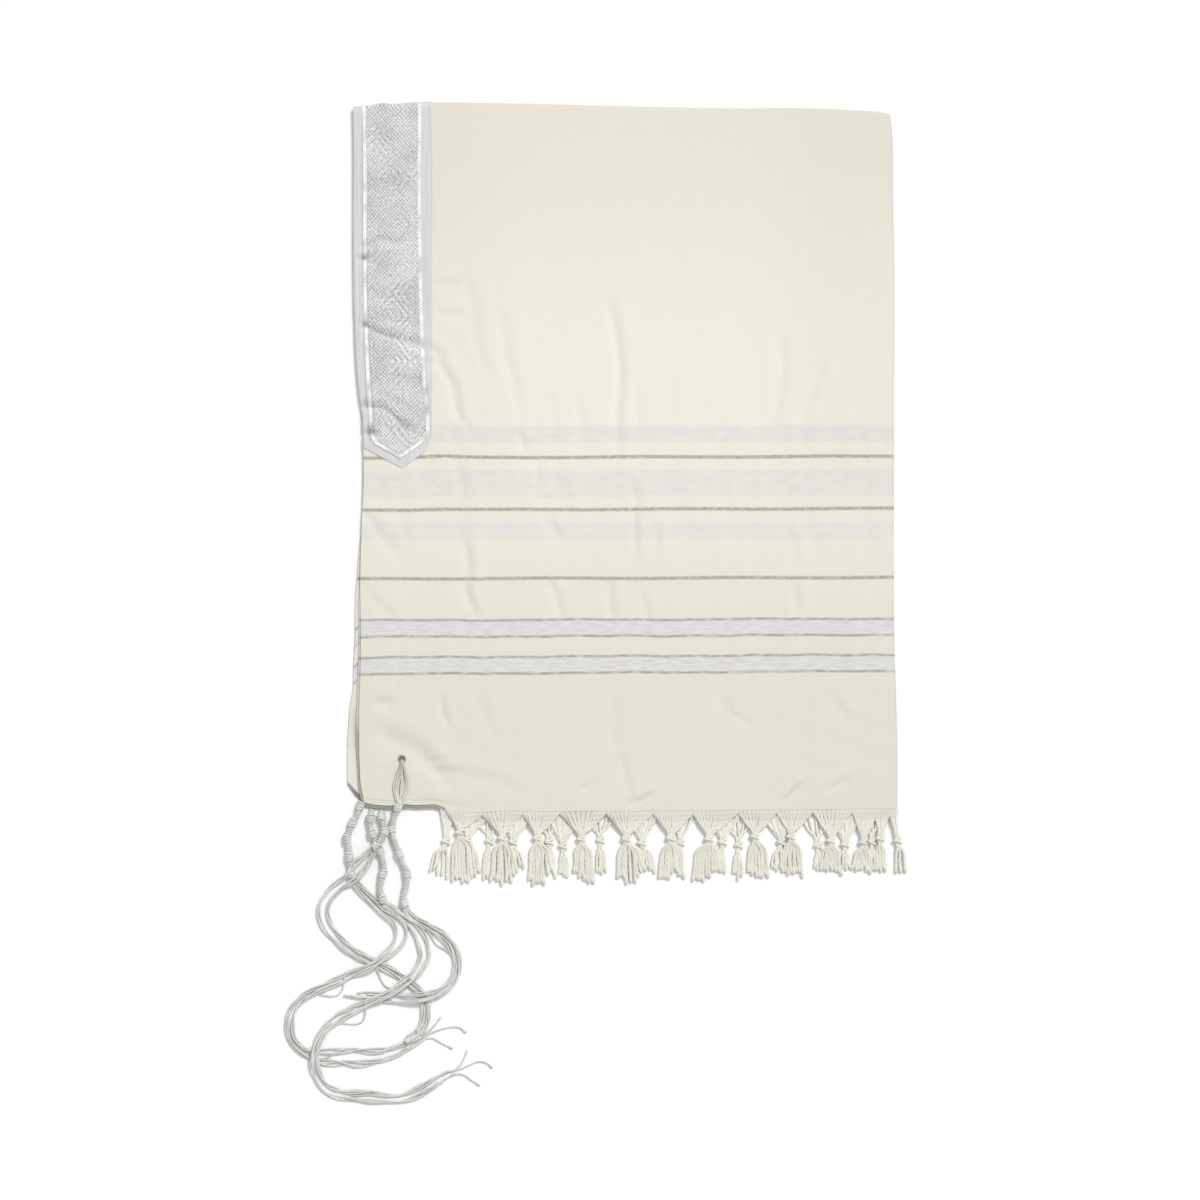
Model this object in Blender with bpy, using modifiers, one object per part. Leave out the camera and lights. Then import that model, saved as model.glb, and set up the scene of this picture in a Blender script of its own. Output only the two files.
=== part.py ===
"""Tallit prayer shawl, folded into quarters and laid flat, with its neckband, fringes and tzitzit.

Units are metres, +Z up. X runs across the folded shawl from the neck edge to the second fold, Y runs
from the fringed ends up to the first fold. The origin is the bottom centre of the shawl and its fringes.
The tables below are in millimetres, and their columns are named by the tuple types above them.
"""

from collections import namedtuple

import bmesh
import bpy
import numpy as np
from mathutils import Vector
from mathutils.bvhtree import BVHTree

MM = 0.001

# Driving dimensions: walls and clearances of the folded stack, from the surface up
SEAM_GAP = 0.00035
BACK_WALL = 0.0012
FRONT_WALL = 0.0012
BAND_WALL = 0.0010
BRAID_WALL = 0.0010
FRONT_REST = 0.0056  # underside of the front quarter where the cloth lies smooth
FOLD_REACH = 0.0030  # how far a rounded fold runs in from its fold line
EDGE_SINK = 0.8  # mm that the stack thins towards its cut edges
EDGE_SINK_REACH = 16.0
SWELL = 0.7  # mm of air that lifts the middle of the quarter

# Driving dimensions: neckband, eyelet, fringe and tzitzit
BAND_WIDTH = 104.0
FRINGE_WALL = 0.0016
FRINGE_GAP = 1.05  # mm between the hem and the fringe knotted into it
FRINGE_TOP_REST = 0.0046  # underside of the front fringe at the hem
FRINGE_TIP_REST = 0.0020
EYELET_CENTRE = (-281.8, -329.4)
EYELET_HOLE_RADIUS = 0.0034
EYELET_RING_RADIUS = 0.0052
EYELET_WALL = 0.0010
LOOP_DIAMETER = 0.0026
LEAD = 4.0  # mm that a cord runs straight where it leaves another
STEM_DIAMETER = 0.0064
STRANDS_DIAMETER = 0.0060
TIP_DIAMETER = 0.0020
TIP_SPREAD = 2.3  # mm between neighbouring ends where they leave the bundle

# Grid of the front quarter
BAND_COLUMNS = 6
CLOTH_COLUMNS = 22
CLOTH_ROWS = 28
FOLD_TURNS = (30.0, 60.0, 90.0)  # degrees at which a rounded fold has a row of points

Edge = namedtuple("Edge", "along offset")
Crease = namedtuple("Crease", "x0 y0 x1 y1 bow depth width")
Ring = namedtuple("Ring", "down cut_out fold_out")
Tuft = namedtuple("Tuft", "x y")

# Neck edge and long hem, stacked at the left: y, then x
LEFT_EDGE = (
    Edge(-395.0, -331.8),
    Edge(-60.0, -332.2),
    Edge(0.0, -333.0),
    Edge(75.0, -333.2),
    Edge(119.0, -338.0),
    Edge(181.0, -340.5),
    Edge(244.0, -343.0),
    Edge(420.0, -344.3),
    Edge(491.0, -345.5),
)
# Second fold, at the right: y, then x
SECOND_FOLD = (
    Edge(-395.0, 337.0),
    Edge(-320.0, 337.0),
    Edge(-256.0, 335.2),
    Edge(-190.0, 332.4),
    Edge(120.0, 332.2),
    Edge(244.0, 334.5),
    Edge(370.0, 332.6),
    Edge(455.0, 330.8),
    Edge(491.0, 326.5),
)
# First fold, at the top: x, then y
FIRST_FOLD = (
    Edge(-346.0, 485.6),
    Edge(-316.0, 488.0),
    Edge(-284.0, 490.3),
    Edge(-160.0, 490.6),
    Edge(-30.0, 488.2),
    Edge(90.0, 484.4),
    Edge(280.0, 481.9),
    Edge(322.0, 478.0),
    Edge(337.0, 474.0),
)
# Fringed end of the front quarter: x, then y; the corner up to the step has a plain hem
HEM = (
    Edge(-333.0, -385.1),
    Edge(-290.0, -388.8),
    Edge(-232.0, -390.0),
    Edge(-218.0, -393.6),
    Edge(-150.0, -394.4),
    Edge(20.0, -394.4),
    Edge(170.0, -393.0),
    Edge(337.0, -390.6),
)
# Outline of the back quarter, which shows past the front one at the lower left
BACK_OUTLINE = (
    (-338.0, 484.0),
    (-338.5, 306.0),
    (-333.5, 119.0),
    (-328.5, -5.0),
    (-332.2, -65.6),
    (-337.1, -90.6),
    (-339.6, -115.6),
    (-338.4, -164.4),
    (-340.9, -201.9),
    (-342.1, -240.6),
    (-348.2, -291.9),
    (-349.5, -316.9),
    (-349.5, -361.9),
    (-334.6, -381.4),
    (-326.0, -383.4),
    (-232.0, -387.0),
    (334.0, -387.6),
    (336.2, -320.0),
    (331.6, -190.0),
    (331.4, 120.0),
    (333.7, 244.0),
    (331.8, 370.0),
    (330.0, 455.0),
    (325.0, 476.0),
    (280.0, 481.0),
    (90.0, 483.6),
    (-30.0, 487.4),
    (-160.0, 489.8),
    (-284.0, 489.5),
)

# Large creases of the front quarter: chord ends, sideways bow at the middle, depth and half-width
CREASES = (
    Crease(-231.0, 281.0, -204.0, 92.0, -9.0, 1.2, 12.0),
    Crease(-190.0, 240.0, -162.0, 112.0, -4.0, 1.1, 11.0),
    Crease(-156.0, 242.0, -128.0, 88.0, 5.0, 1.3, 11.0),
    Crease(-26.0, 262.0, -4.0, 86.0, 5.0, 2.2, 12.0),
    Crease(14.0, 150.0, 18.0, 86.0, 0.0, 1.0, 9.0),
    Crease(196.0, 206.0, 184.0, 88.0, 5.0, 1.4, 12.0),
    Crease(242.0, 156.0, 223.0, 82.0, 4.0, 1.1, 12.0),
    Crease(-196.0, -52.0, -190.0, -147.0, -2.0, 1.8, 10.0),
    Crease(-88.0, -120.0, -76.0, -154.0, 0.0, 1.0, 10.0),
    Crease(14.0, -48.0, 17.0, -148.0, 1.0, 1.2, 10.0),
    Crease(213.0, -42.0, 217.0, -150.0, 0.0, 1.0, 11.0),
    Crease(-302.0, -296.0, -214.0, -352.0, 3.0, 2.0, 15.0),
    Crease(-214.0, -350.0, -104.0, -376.0, 2.0, 1.2, 12.0),
    Crease(2.0, -386.0, 36.0, -370.0, 3.0, 1.2, 8.0),
)
# Creases across the neckband, which pull it into soft waves
BAND_CREASES = (
    Crease(-346.0, 312.0, -248.0, 338.0, 4.0, 1.4, 12.0),
    Crease(-346.0, 212.0, -228.0, 180.0, 5.0, 2.0, 13.0),
    Crease(-342.0, 122.0, -262.0, 80.0, 4.0, 1.8, 12.0),
)

# Side of the hidden layers: share of the height, and how far the cut edges and the folds stand out
LAYER_RINGS = (
    Ring(0.00, 0.0, 0.0),
    Ring(0.12, 0.8, 1.1),
    Ring(0.36, 0.8, 1.9),
    Ring(0.50, 0.1, 2.2),
    Ring(0.64, 0.8, 2.3),
    Ring(0.88, 0.8, 2.2),
    Ring(1.00, 0.0, 1.6),
)
FRINGE_RINGS = (
    Ring(0.0, 0.0, 0.0),
    Ring(0.4, 0.5, 0.5),
    Ring(1.0, 0.0, 0.0),
)

# Neckband outlines, from the first fold down round the point and up the neck edge
BAND_OUTLINE = (
    (-243.2, 499.0),
    (-241.7, 244.4),
    (-238.2, 119.4),
    (-241.1, 73.1),
    (-282.4, 33.8),
    (-331.1, 60.0),
    (-353.0, 60.0),
    (-353.0, 499.0),
)
BRAID_OUTLINE = (
    (-255.5, 499.0),
    (-254.2, 244.4),
    (-248.6, 135.6),
    (-247.4, 77.5),
    (-281.8, 43.1),
    (-322.4, 72.5),
    (-326.8, 135.6),
    (-332.0, 306.9),
    (-332.0, 499.0),
)
BRAID_WIDTH = 5.2
BROCADE_INSET = 5.6

# Tassel ends of the fringe: x, then y; the first leans out to the left and the last to the right
FRINGE_START = -212.0
FRINGE_STOP = 336.0
TUFT_ENDS = (
    Tuft(-246.5, -470.6),
    Tuft(-202.0, -485.6),
    Tuft(-159.0, -489.4),
    Tuft(-113.0, -490.6),
    Tuft(-70.0, -479.4),
    Tuft(-34.0, -484.4),
    Tuft(-3.0, -478.1),
    Tuft(31.0, -486.9),
    Tuft(66.0, -485.6),
    Tuft(114.0, -479.4),
    Tuft(158.0, -480.6),
    Tuft(206.0, -475.6),
    Tuft(253.0, -479.4),
    Tuft(292.0, -478.1),
    Tuft(316.0, -474.4),
    Tuft(349.5, -469.4),
)

# Routes of the tzitzit, hand-laid on the surface: x, y and height of the centre line. Each stem starts at
# the hem, and each bundle goes on from its stem's end.
STEM_ROUTES = (
    (
        (-333.3, -385.7, 3.6), (-336.6, -397.0, 3.3), (-343.0, -408.1, 3.3), (-346.1, -416.9, 3.3),
        (-350.5, -426.2, 3.3), (-348.6, -438.1, 3.3), (-347.6, -453.1, 3.3), (-345.7, -466.9, 3.3),
        (-344.9, -475.6, 3.3),
    ),
    (
        (-319.5, -386.6, 3.6), (-320.7, -399.4, 3.3), (-322.0, -411.9, 3.3), (-318.6, -424.4, 3.3),
        (-313.6, -434.4, 3.3), (-309.9, -443.1, 3.3), (-305.5, -458.1, 3.3), (-305.1, -469.4, 3.3),
        (-308.2, -481.9, 3.3), (-308.8, -495.6, 3.3), (-304.9, -508.1, 3.3),
    ),
    (
        (-308.2, -388.4, 3.4), (-307.6, -399.4, 3.6), (-305.7, -410.6, 4.4), (-303.2, -419.4, 7.0),
        (-306.8, -427.5, 9.6), (-311.1, -433.5, 10.6), (-316.1, -440.0, 10.2),
    ),
    (
        (-286.6, -390.6, 5.0), (-291.0, -401.0, 3.6), (-294.4, -413.1, 3.3), (-293.5, -424.4, 3.3),
        (-289.9, -436.2, 3.3), (-285.5, -448.1, 3.3), (-281.1, -459.4, 3.3), (-276.1, -470.6, 3.3),
        (-275.2, -480.6, 3.3), (-278.2, -494.4, 3.3), (-279.6, -505.0, 3.3), (-277.6, -514.0, 3.3),
    ),
)
STRANDS_ROUTES = (
    (
        (-339.2, -486.2, 3.1), (-332.4, -493.8, 3.1), (-322.4, -503.8, 3.1),
        (-312.2, -513.6, 3.1), (-302.6, -522.9, 3.1), (-293.6, -531.2, 3.1), (-288.2, -542.5, 3.1),
        (-288.0, -555.0, 3.1), (-294.9, -566.9, 4.7), (-304.2, -575.6, 8.8), (-313.0, -583.8, 10.2),
        (-324.9, -590.0, 8.8), (-339.2, -596.2, 4.5), (-356.8, -604.4, 3.1), (-374.2, -611.9, 3.1),
        (-393.0, -620.6, 3.1), (-407.4, -629.4, 3.1), (-417.4, -640.0, 3.1), (-423.0, -653.1, 3.1),
        (-423.6, -666.9, 3.1), (-419.9, -680.6, 3.1), (-409.9, -692.5, 3.1), (-396.8, -698.8, 3.1),
        (-383.0, -701.2, 3.1), (-365.5, -703.1, 3.1), (-346.8, -704.4, 3.1), (-328.0, -703.8, 3.1),
        (-309.2, -700.6, 3.1), (-291.8, -695.0, 3.1), (-275.5, -687.5, 3.1), (-263.0, -680.6, 3.1),
        (-252.4, -675.0, 3.1),
    ),
    (
        (-295.0, -516.6, 3.1), (-286.8, -524.4, 3.1), (-278.0, -532.5, 3.1),
        (-270.5, -541.2, 3.1), (-263.6, -551.9, 3.1), (-258.6, -564.4, 3.1), (-257.4, -576.9, 3.1),
        (-261.1, -588.8, 4.8), (-268.6, -599.4, 9.0), (-279.2, -609.4, 10.0), (-290.5, -617.5, 9.9),
        (-303.0, -625.0, 10.1), (-315.5, -630.6, 8.4), (-331.8, -637.5, 4.2), (-348.0, -645.6, 3.1),
        (-364.2, -655.6, 3.1), (-377.4, -667.5, 3.4), (-386.1, -680.6, 6.8), (-389.5, -691.9, 9.9),
        (-390.2, -703.1, 9.9), (-389.5, -714.4, 6.8), (-386.8, -725.6, 3.6), (-381.1, -736.9, 3.1),
        (-370.5, -746.0, 3.1), (-356.8, -751.2, 3.1), (-339.2, -753.8, 3.1), (-320.5, -755.6, 3.1),
        (-301.8, -756.2, 3.1), (-283.0, -754.4, 3.1), (-266.8, -749.4, 3.1), (-250.5, -740.0, 3.1),
        (-234.2, -729.4, 3.1), (-214.9, -720.0, 3.1),
    ),
    (
        (-326.8, -453.8, 8.0), (-333.6, -462.5, 9.0), (-340.5, -471.2, 10.2),
        (-348.0, -478.1, 10.0), (-356.1, -483.5, 6.8), (-364.2, -488.8, 3.8), (-374.2, -496.9, 3.1),
        (-382.4, -508.1, 3.1), (-385.5, -520.0, 3.1), (-382.4, -533.1, 3.1), (-375.5, -545.6, 3.1),
        (-365.5, -556.9, 3.1), (-353.0, -566.9, 3.1), (-339.2, -575.0, 3.1), (-325.5, -580.0, 3.1),
        (-313.0, -584.4, 3.1), (-300.5, -591.2, 3.1), (-288.0, -598.8, 3.1), (-275.5, -606.9, 3.1),
        (-265.5, -614.4, 3.1), (-257.4, -623.8, 3.1), (-253.0, -635.6, 3.1), (-252.0, -649.4, 3.1),
        (-252.6, -666.9, 3.1),
    ),
    (
        (-274.0, -523.0, 3.1), (-268.5, -528.6, 3.1), (-262.0, -532.6, 3.1),
        (-253.0, -537.5, 3.1), (-241.7, -543.8, 3.1), (-230.5, -551.9, 3.1), (-220.5, -562.5, 3.1),
        (-213.6, -575.6, 3.1), (-212.4, -590.0, 3.1), (-216.1, -603.1, 3.1), (-224.2, -613.8, 4.5),
        (-235.5, -621.2, 8.2), (-247.4, -625.4, 9.9), (-259.9, -627.5, 9.8), (-273.0, -628.5, 7.2),
        (-285.5, -628.8, 4.0), (-296.8, -628.1, 3.1), (-311.8, -626.2, 3.1), (-326.8, -623.8, 3.1),
        (-341.8, -623.1, 3.1), (-353.0, -623.1, 3.1),
    ),
)
# Ends that fan out of the first two bundles, three each
TIP_ROUTES = (
    ((-243.0, -665.0, 2.0), (-236.7, -658.8, 1.1), (-232.8, -653.6, 1.1)),
    (
        (-234.7, -669.6, 1.8), (-220.7, -665.6, 1.1), (-208.8, -666.1, 1.1), (-201.7, -671.6, 1.1),
    ),
    ((-238.0, -682.5, 1.8), (-228.0, -687.5, 1.1), (-218.8, -691.6, 1.1)),
    ((-206.7, -708.1, 1.8), (-203.0, -701.2, 1.1), (-199.7, -693.6, 1.1)),
    (
        (-198.8, -713.9, 1.8), (-184.7, -707.9, 1.1), (-176.7, -709.6, 1.1), (-168.8, -715.6, 1.1),
    ),
    ((-201.7, -728.1, 1.8), (-193.0, -733.1, 1.1), (-184.7, -737.6, 1.1)),
)
# Loop of the front tzitzit on the cloth, from the eyelet to the hem: x and y
LOOP_ROUTES = (
    (
        (-285.2, -336.4), (-287.8, -343.1), (-290.0, -353.1), (-290.2, -363.1), (-288.5, -373.1),
        (-286.4, -384.0),
    ),
    (
        (-278.5, -336.4), (-276.5, -343.1), (-274.5, -353.1), (-274.2, -363.1), (-277.0, -373.1),
        (-280.8, -384.0),
    ),
)


def clear_scene():
    for item in list(bpy.data.objects):
        bpy.data.objects.remove(item, do_unlink=True)


def new_collection(name):
    made = bpy.data.collections.new(name)
    bpy.context.scene.collection.children.link(made)
    return made


def finish(name, colour, roughness):
    made = bpy.data.materials.new(name)
    made.use_nodes = True
    shader = made.node_tree.nodes["Principled BSDF"]
    shader.inputs["Base Color"].default_value = (*colour, 1.0)
    shader.inputs["Roughness"].default_value = roughness
    return made


def add_object(name, data, group, material):
    made = bpy.data.objects.new(name, data)
    group.objects.link(made)
    if material:
        made.data.materials.append(material)
    return made


def mesh_from(name, points, faces):
    made = bpy.data.meshes.new(name)
    made.from_pydata([tuple(point) for point in points], [], faces)
    made.update()
    return made


def smooth_along(table, at):
    """Height of a smooth curve through a table's rows: each piece is a cubic with the rows' mean slopes."""
    rows = sorted(table)
    along = np.array([row[0] for row in rows])
    offset = np.array([row[1] for row in rows])
    slope = np.gradient(offset, along)
    at = np.clip(at, along[0], along[-1])
    low = np.clip(np.searchsorted(along, at) - 1, 0, len(along) - 2)
    span = along[low + 1] - along[low]
    t = (at - along[low]) / span
    start = (2 * t**3 - 3 * t**2 + 1) * offset[low] + (t**3 - 2 * t**2 + t) * span * slope[low]
    end = (3 * t**2 - 2 * t**3) * offset[low + 1] + (t**3 - t**2) * span * slope[low + 1]
    return start + end


def ease(t):
    t = np.clip(t, 0.0, 1.0)
    return t * t * (3 - 2 * t)


def relief(x, y):
    """Rise of the front quarter over its flat rest in mm: air inside, soft troughs, thinner cut edges."""
    from_left = x - smooth_along(LEFT_EDGE, y)
    from_hem = y - smooth_along(HEM, x)
    height = SWELL * ease(from_left / 250) * ease(from_hem / 250)
    height = height - EDGE_SINK * np.exp(-from_left / EDGE_SINK_REACH)
    height = height - EDGE_SINK * np.exp(-from_hem / EDGE_SINK_REACH)
    for crease in CREASES + BAND_CREASES:
        run = np.array([crease.x1 - crease.x0, crease.y1 - crease.y0])
        length = np.hypot(*run)
        t = ((x - crease.x0) * run[0] + (y - crease.y0) * run[1]) / length**2
        side = ((x - crease.x0) * run[1] - (y - crease.y0) * run[0]) / length
        side = side - crease.bow * 4 * t * (1 - t)
        fade = ease(t / 0.35) * ease((1 - t) / 0.2)
        height = height - crease.depth * fade * np.exp(-((side / crease.width) ** 2))
    return height


def front_points(across, down, turns):
    """Underside of the front quarter as a grid of points, in metres.

    across and down are the shares of the way from the cut edges to the rounds of the folds; turns are
    the angles of the rounds. A round is a quarter ellipse that ends just over the back quarter.
    """
    column = np.concatenate([across, np.ones(len(turns))])
    column_turn = np.radians(np.concatenate([np.zeros(len(across)), turns]))
    row = np.concatenate([np.ones(len(turns)), down])
    row_turn = np.radians(np.concatenate([np.sort(turns)[::-1], np.zeros(len(down))]))
    reach = FOLD_REACH / MM
    wall = FRONT_WALL / MM
    y_mean = 488.0 * row + -393.0 * (1 - row)
    x_left = smooth_along(LEFT_EDGE, y_mean)
    x_right = smooth_along(SECOND_FOLD, y_mean) - wall - reach
    x = x_left[:, None] + (x_right - x_left)[:, None] * column[None, :]
    y_hem = smooth_along(HEM, x)
    y_top = smooth_along(FIRST_FOLD, x) - wall - reach
    y = y_hem + (y_top - y_hem) * row[:, None]
    rise = relief(x, y)
    x = x + reach * np.sin(column_turn)[None, :]
    y = y + reach * np.sin(row_turn)[:, None]
    low = (BACK_WALL + SEAM_GAP) / MM
    flat = np.cos(column_turn)[None, :] * np.cos(row_turn)[:, None]
    z = low + (FRONT_REST / MM - low + rise) * flat
    return np.stack([x, y, z], axis=-1) * MM


def grid_faces(rows, columns):
    """Two triangles a cell, all cut the same way, so that stacked grids bend alike."""
    index = np.arange(rows * columns).reshape(rows, columns)
    low = np.stack([index[:-1, :-1], index[1:, :-1], index[1:, 1:]], axis=-1)
    high = np.stack([index[:-1, :-1], index[1:, 1:], index[:-1, 1:]], axis=-1)
    return np.concatenate([low.reshape(-1, 3), high.reshape(-1, 3)]).tolist()


def moved_out(points, distance):
    """A grid moved along its mesh's vertex normals, as a wall's thickness is, so that layers stay parallel."""
    rows, columns = points.shape[:2]
    mesh = mesh_from("layer", points.reshape(-1, 3), grid_faces(rows, columns))
    normal = np.empty(rows * columns * 3, dtype=np.float32)
    mesh.vertices.foreach_get("normal", normal)
    bpy.data.meshes.remove(mesh)
    return points + normal.reshape(points.shape) * distance


def panel(name, points, wall, group, material):
    """A wall of cloth: a grid of its underside, thickened upwards."""
    mesh = mesh_from(name, points.reshape(-1, 3), grid_faces(*points.shape[:2]))
    made = add_object(name, mesh, group, material)
    thicken = made.modifiers.new("wall", "SOLIDIFY")
    thicken.thickness = wall
    thicken.offset = 1.0
    return made


def rounded_solid(name, top, floor, rings, fold_side, group, material):
    """A solid under a grid: its top is the grid, its sides follow the rings, and its bottom is flat.

    fold_side says, for each point round the grid, whether it lies on a fold rather than on cut edges.
    """
    rows, columns = top.shape[:2]
    index = np.arange(rows * columns).reshape(rows, columns)
    border = np.concatenate([index[:-1, 0], index[-1, :-1], index[:0:-1, -1], index[0, :0:-1]])
    folds = np.concatenate([fold_side[:-1, 0], fold_side[-1, :-1], fold_side[:0:-1, -1], fold_side[0, :0:-1]])
    points = top.reshape(-1, 3)
    faces = grid_faces(rows, columns)
    edge = points[border]
    along = np.roll(edge, -1, axis=0) - np.roll(edge, 1, axis=0)
    out = np.stack([along[:, 1], -along[:, 0]], axis=1)
    out = out / np.linalg.norm(out, axis=1, keepdims=True)
    count = len(border)
    last = border
    for number, ring in enumerate(rings[1:]):
        stand_out = np.where(folds, ring.fold_out, ring.cut_out) * MM
        below = edge[:, 2] + (floor - edge[:, 2]) * ring.down
        loop = np.column_stack([edge[:, :2] + out * stand_out[:, None], below])
        here = len(points) + np.arange(count)
        points = np.vstack([points, loop])
        ring_faces = np.stack([last, here, np.roll(here, -1), np.roll(last, -1)], axis=1)
        faces += ring_faces.tolist()
        last = here
    faces.append(last[::-1].tolist())
    return add_object(name, mesh_from(name, points, faces), group, material)


def flat_piece(name, outline, wall, group, material):
    """A flat outline as a filled 2D curve, extruded by half its thickness each way."""
    curve = bpy.data.curves.new(name, "CURVE")
    curve.dimensions = "2D"
    curve.fill_mode = "BOTH"
    curve.extrude = wall / 2
    line = curve.splines.new("POLY")
    line.points.add(len(outline) - 1)
    for point, (x, y) in zip(line.points, outline):
        point.co = (x * MM, y * MM, 0.0, 1.0)
    line.use_cyclic_u = True
    made = add_object(name, curve, group, material)
    made.location.z = wall / 2
    return made


def inset(outline, distance):
    """An outline moved inwards: each corner goes to where its two shifted sides meet."""
    points = np.array(outline)
    before = points - np.roll(points, 1, axis=0)
    after = np.roll(points, -1, axis=0) - points
    before = before / np.linalg.norm(before, axis=1, keepdims=True)
    after = after / np.linalg.norm(after, axis=1, keepdims=True)
    in_before = np.column_stack([before[:, 1], -before[:, 0]])
    in_after = np.column_stack([after[:, 1], -after[:, 0]])
    middle = in_before + in_after
    scale = distance / (1 + (in_before * in_after).sum(axis=1))
    return points + middle * scale[:, None]


def cutter_prism(name, outline, cutters):
    """An upright prism through the whole stack, used to trim cloth to an outline."""
    shape = bmesh.new()
    low = [shape.verts.new((x * MM, y * MM, -0.02)) for x, y in outline]
    face = shape.faces.new(low)
    side = bmesh.ops.extrude_face_region(shape, geom=[face])
    raised = [item for item in side["geom"] if isinstance(item, bmesh.types.BMVert)]
    bmesh.ops.translate(shape, verts=raised, vec=(0.0, 0.0, 0.06))
    bmesh.ops.recalc_face_normals(shape, faces=shape.faces)
    mesh = bpy.data.meshes.new(name)
    shape.to_mesh(mesh)
    shape.free()
    return hide_cutter(add_object(name, mesh, cutters, None))


def cutter_round(name, centre, radius, cutters):
    bpy.ops.mesh.primitive_cylinder_add(
        vertices=16, radius=radius, depth=0.04, location=(centre[0] * MM, centre[1] * MM, 0.0)
    )
    made = bpy.context.object
    made.name = name
    for group in list(made.users_collection):
        group.objects.unlink(made)
    cutters.objects.link(made)
    return hide_cutter(made)


def hide_cutter(made):
    made.hide_render = True
    made.display_type = "WIRE"
    return made


def trim(made, cutter, operation):
    step = made.modifiers.new(cutter.name, "BOOLEAN")
    step.operation = operation
    step.solver = "EXACT"
    step.object = cutter
    return made


def smooth_route(route, diameter):
    """Points a bit over two diameters apart on a smooth curve through a route, with a short straight start.

    The curve is made of cubics whose slopes are the neighbours' mean, and it never dips into the surface.
    """
    route = np.array(route)
    gap = np.linalg.norm(np.diff(route, axis=0), axis=1)
    along = np.concatenate([[0.0], np.cumsum(gap)])
    count = max(3, int(round(along[-1] / (2.2 * diameter / MM))))
    at = np.concatenate([[0.0], np.linspace(min(LEAD, gap[0]), along[-1], count + 1)])
    columns = [smooth_along(list(zip(along, route[:, axis])), at) for axis in range(3)]
    columns[2] = np.maximum(columns[2], diameter / MM / 2 + 0.05)
    return np.column_stack(columns)


def carried_on(points, route, sideways=0.0, gap=0.4):
    """A route that leaves the end of another cord in line with it, after a small gap."""
    ahead = points[-1] - points[-2]
    ahead = ahead / np.linalg.norm(ahead)
    start = points[-1] + ahead * gap + np.array([-ahead[1], ahead[0], 0.0]) * sideways
    return [start, start + ahead * LEAD, *np.array(route)]


def tube(name, points, diameter, group, material):
    """A cord: a poly curve through points a bit over two diameters apart, with filled ends."""
    curve = bpy.data.curves.new(name, "CURVE")
    curve.dimensions = "3D"
    curve.bevel_depth = diameter / 2
    curve.bevel_resolution = 2
    curve.use_fill_caps = True
    line = curve.splines.new("POLY")
    line.points.add(len(points) - 1)
    for point, place in zip(line.points, points):
        point.co = (*(place * MM), 1.0)
    return add_object(name, curve, group, material)


def heights_on(points, places):
    """Heights of a grid of cloth straight under some places given in mm."""
    faces = grid_faces(*points.shape[:2])
    cloth = BVHTree.FromPolygons([Vector(point) for point in points.reshape(-1, 3)], faces)
    down = Vector((0.0, 0.0, -1.0))
    return [cloth.ray_cast(Vector((x * MM, y * MM, 1.0)), down)[0].z for x, y in places]


def body_cloth(group, cutters, wool):
    """The front quarter, the two layers inside and the back quarter; gives back the front one's underside."""
    band_share = BAND_WIDTH / 668.0
    across = np.concatenate(
        [np.linspace(0, band_share, BAND_COLUMNS + 1), np.linspace(band_share, 1, CLOTH_COLUMNS + 1)[1:]]
    )
    down = np.linspace(1, 0, CLOTH_ROWS + 1)
    under = front_points(across, down, FOLD_TURNS)
    front = panel("body_cloth_front", under, FRONT_WALL, group, wool)
    trim(front, cutter_round("eyelet_hole", EYELET_CENTRE, EYELET_HOLE_RADIUS, cutters), "DIFFERENCE")

    inner_across = np.concatenate([[0.004], across[1:]])
    inner_down = np.concatenate([down[:-1], [0.004]])
    hidden_top = front_points(inner_across, inner_down, ())
    hidden_top[..., 2] -= SEAM_GAP * 1.3
    fold_side = np.zeros(hidden_top.shape[:2], dtype=bool)
    fold_side[0, 1:] = True
    fold_side[:-1, -1] = True
    floor = BACK_WALL + SEAM_GAP
    rounded_solid("body_cloth_hidden_layers", hidden_top, floor, LAYER_RINGS, fold_side, group, wool)
    flat_piece("body_cloth_back", BACK_OUTLINE, BACK_WALL, group, wool)
    return under


def neckband(under, group, cutters, satin, brocade, silver):
    """Satin band on the front quarter, and on it the braid round the brocade inlay."""
    rows = len(FOLD_TURNS) + CLOTH_ROWS * 4 // 7
    band_points = moved_out(under, FRONT_WALL + SEAM_GAP)[:rows, : BAND_COLUMNS + 2]
    band = panel("atarah_satin_band", band_points, BAND_WALL, group, satin)
    trim(band, cutter_prism("band_outline", BAND_OUTLINE, cutters), "INTERSECT")

    top_points = moved_out(band_points, BAND_WALL + SEAM_GAP)
    braid = panel("atarah_silver_braid", top_points, BRAID_WALL, group, silver)
    trim(braid, cutter_prism("braid_outline", BRAID_OUTLINE, cutters), "INTERSECT")
    inner = inset(BRAID_OUTLINE, BRAID_WIDTH)
    inner[[0, -1], 1] += 20
    trim(braid, cutter_prism("braid_inner", inner, cutters), "DIFFERENCE")
    inlay = panel("atarah_brocade", top_points, BRAID_WALL, group, brocade)
    inlay_outline = inset(BRAID_OUTLINE, BROCADE_INSET)
    inlay_outline[[0, -1], 1] += 20
    trim(inlay, cutter_prism("brocade_outline", inlay_outline, cutters), "INTERSECT")


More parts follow.
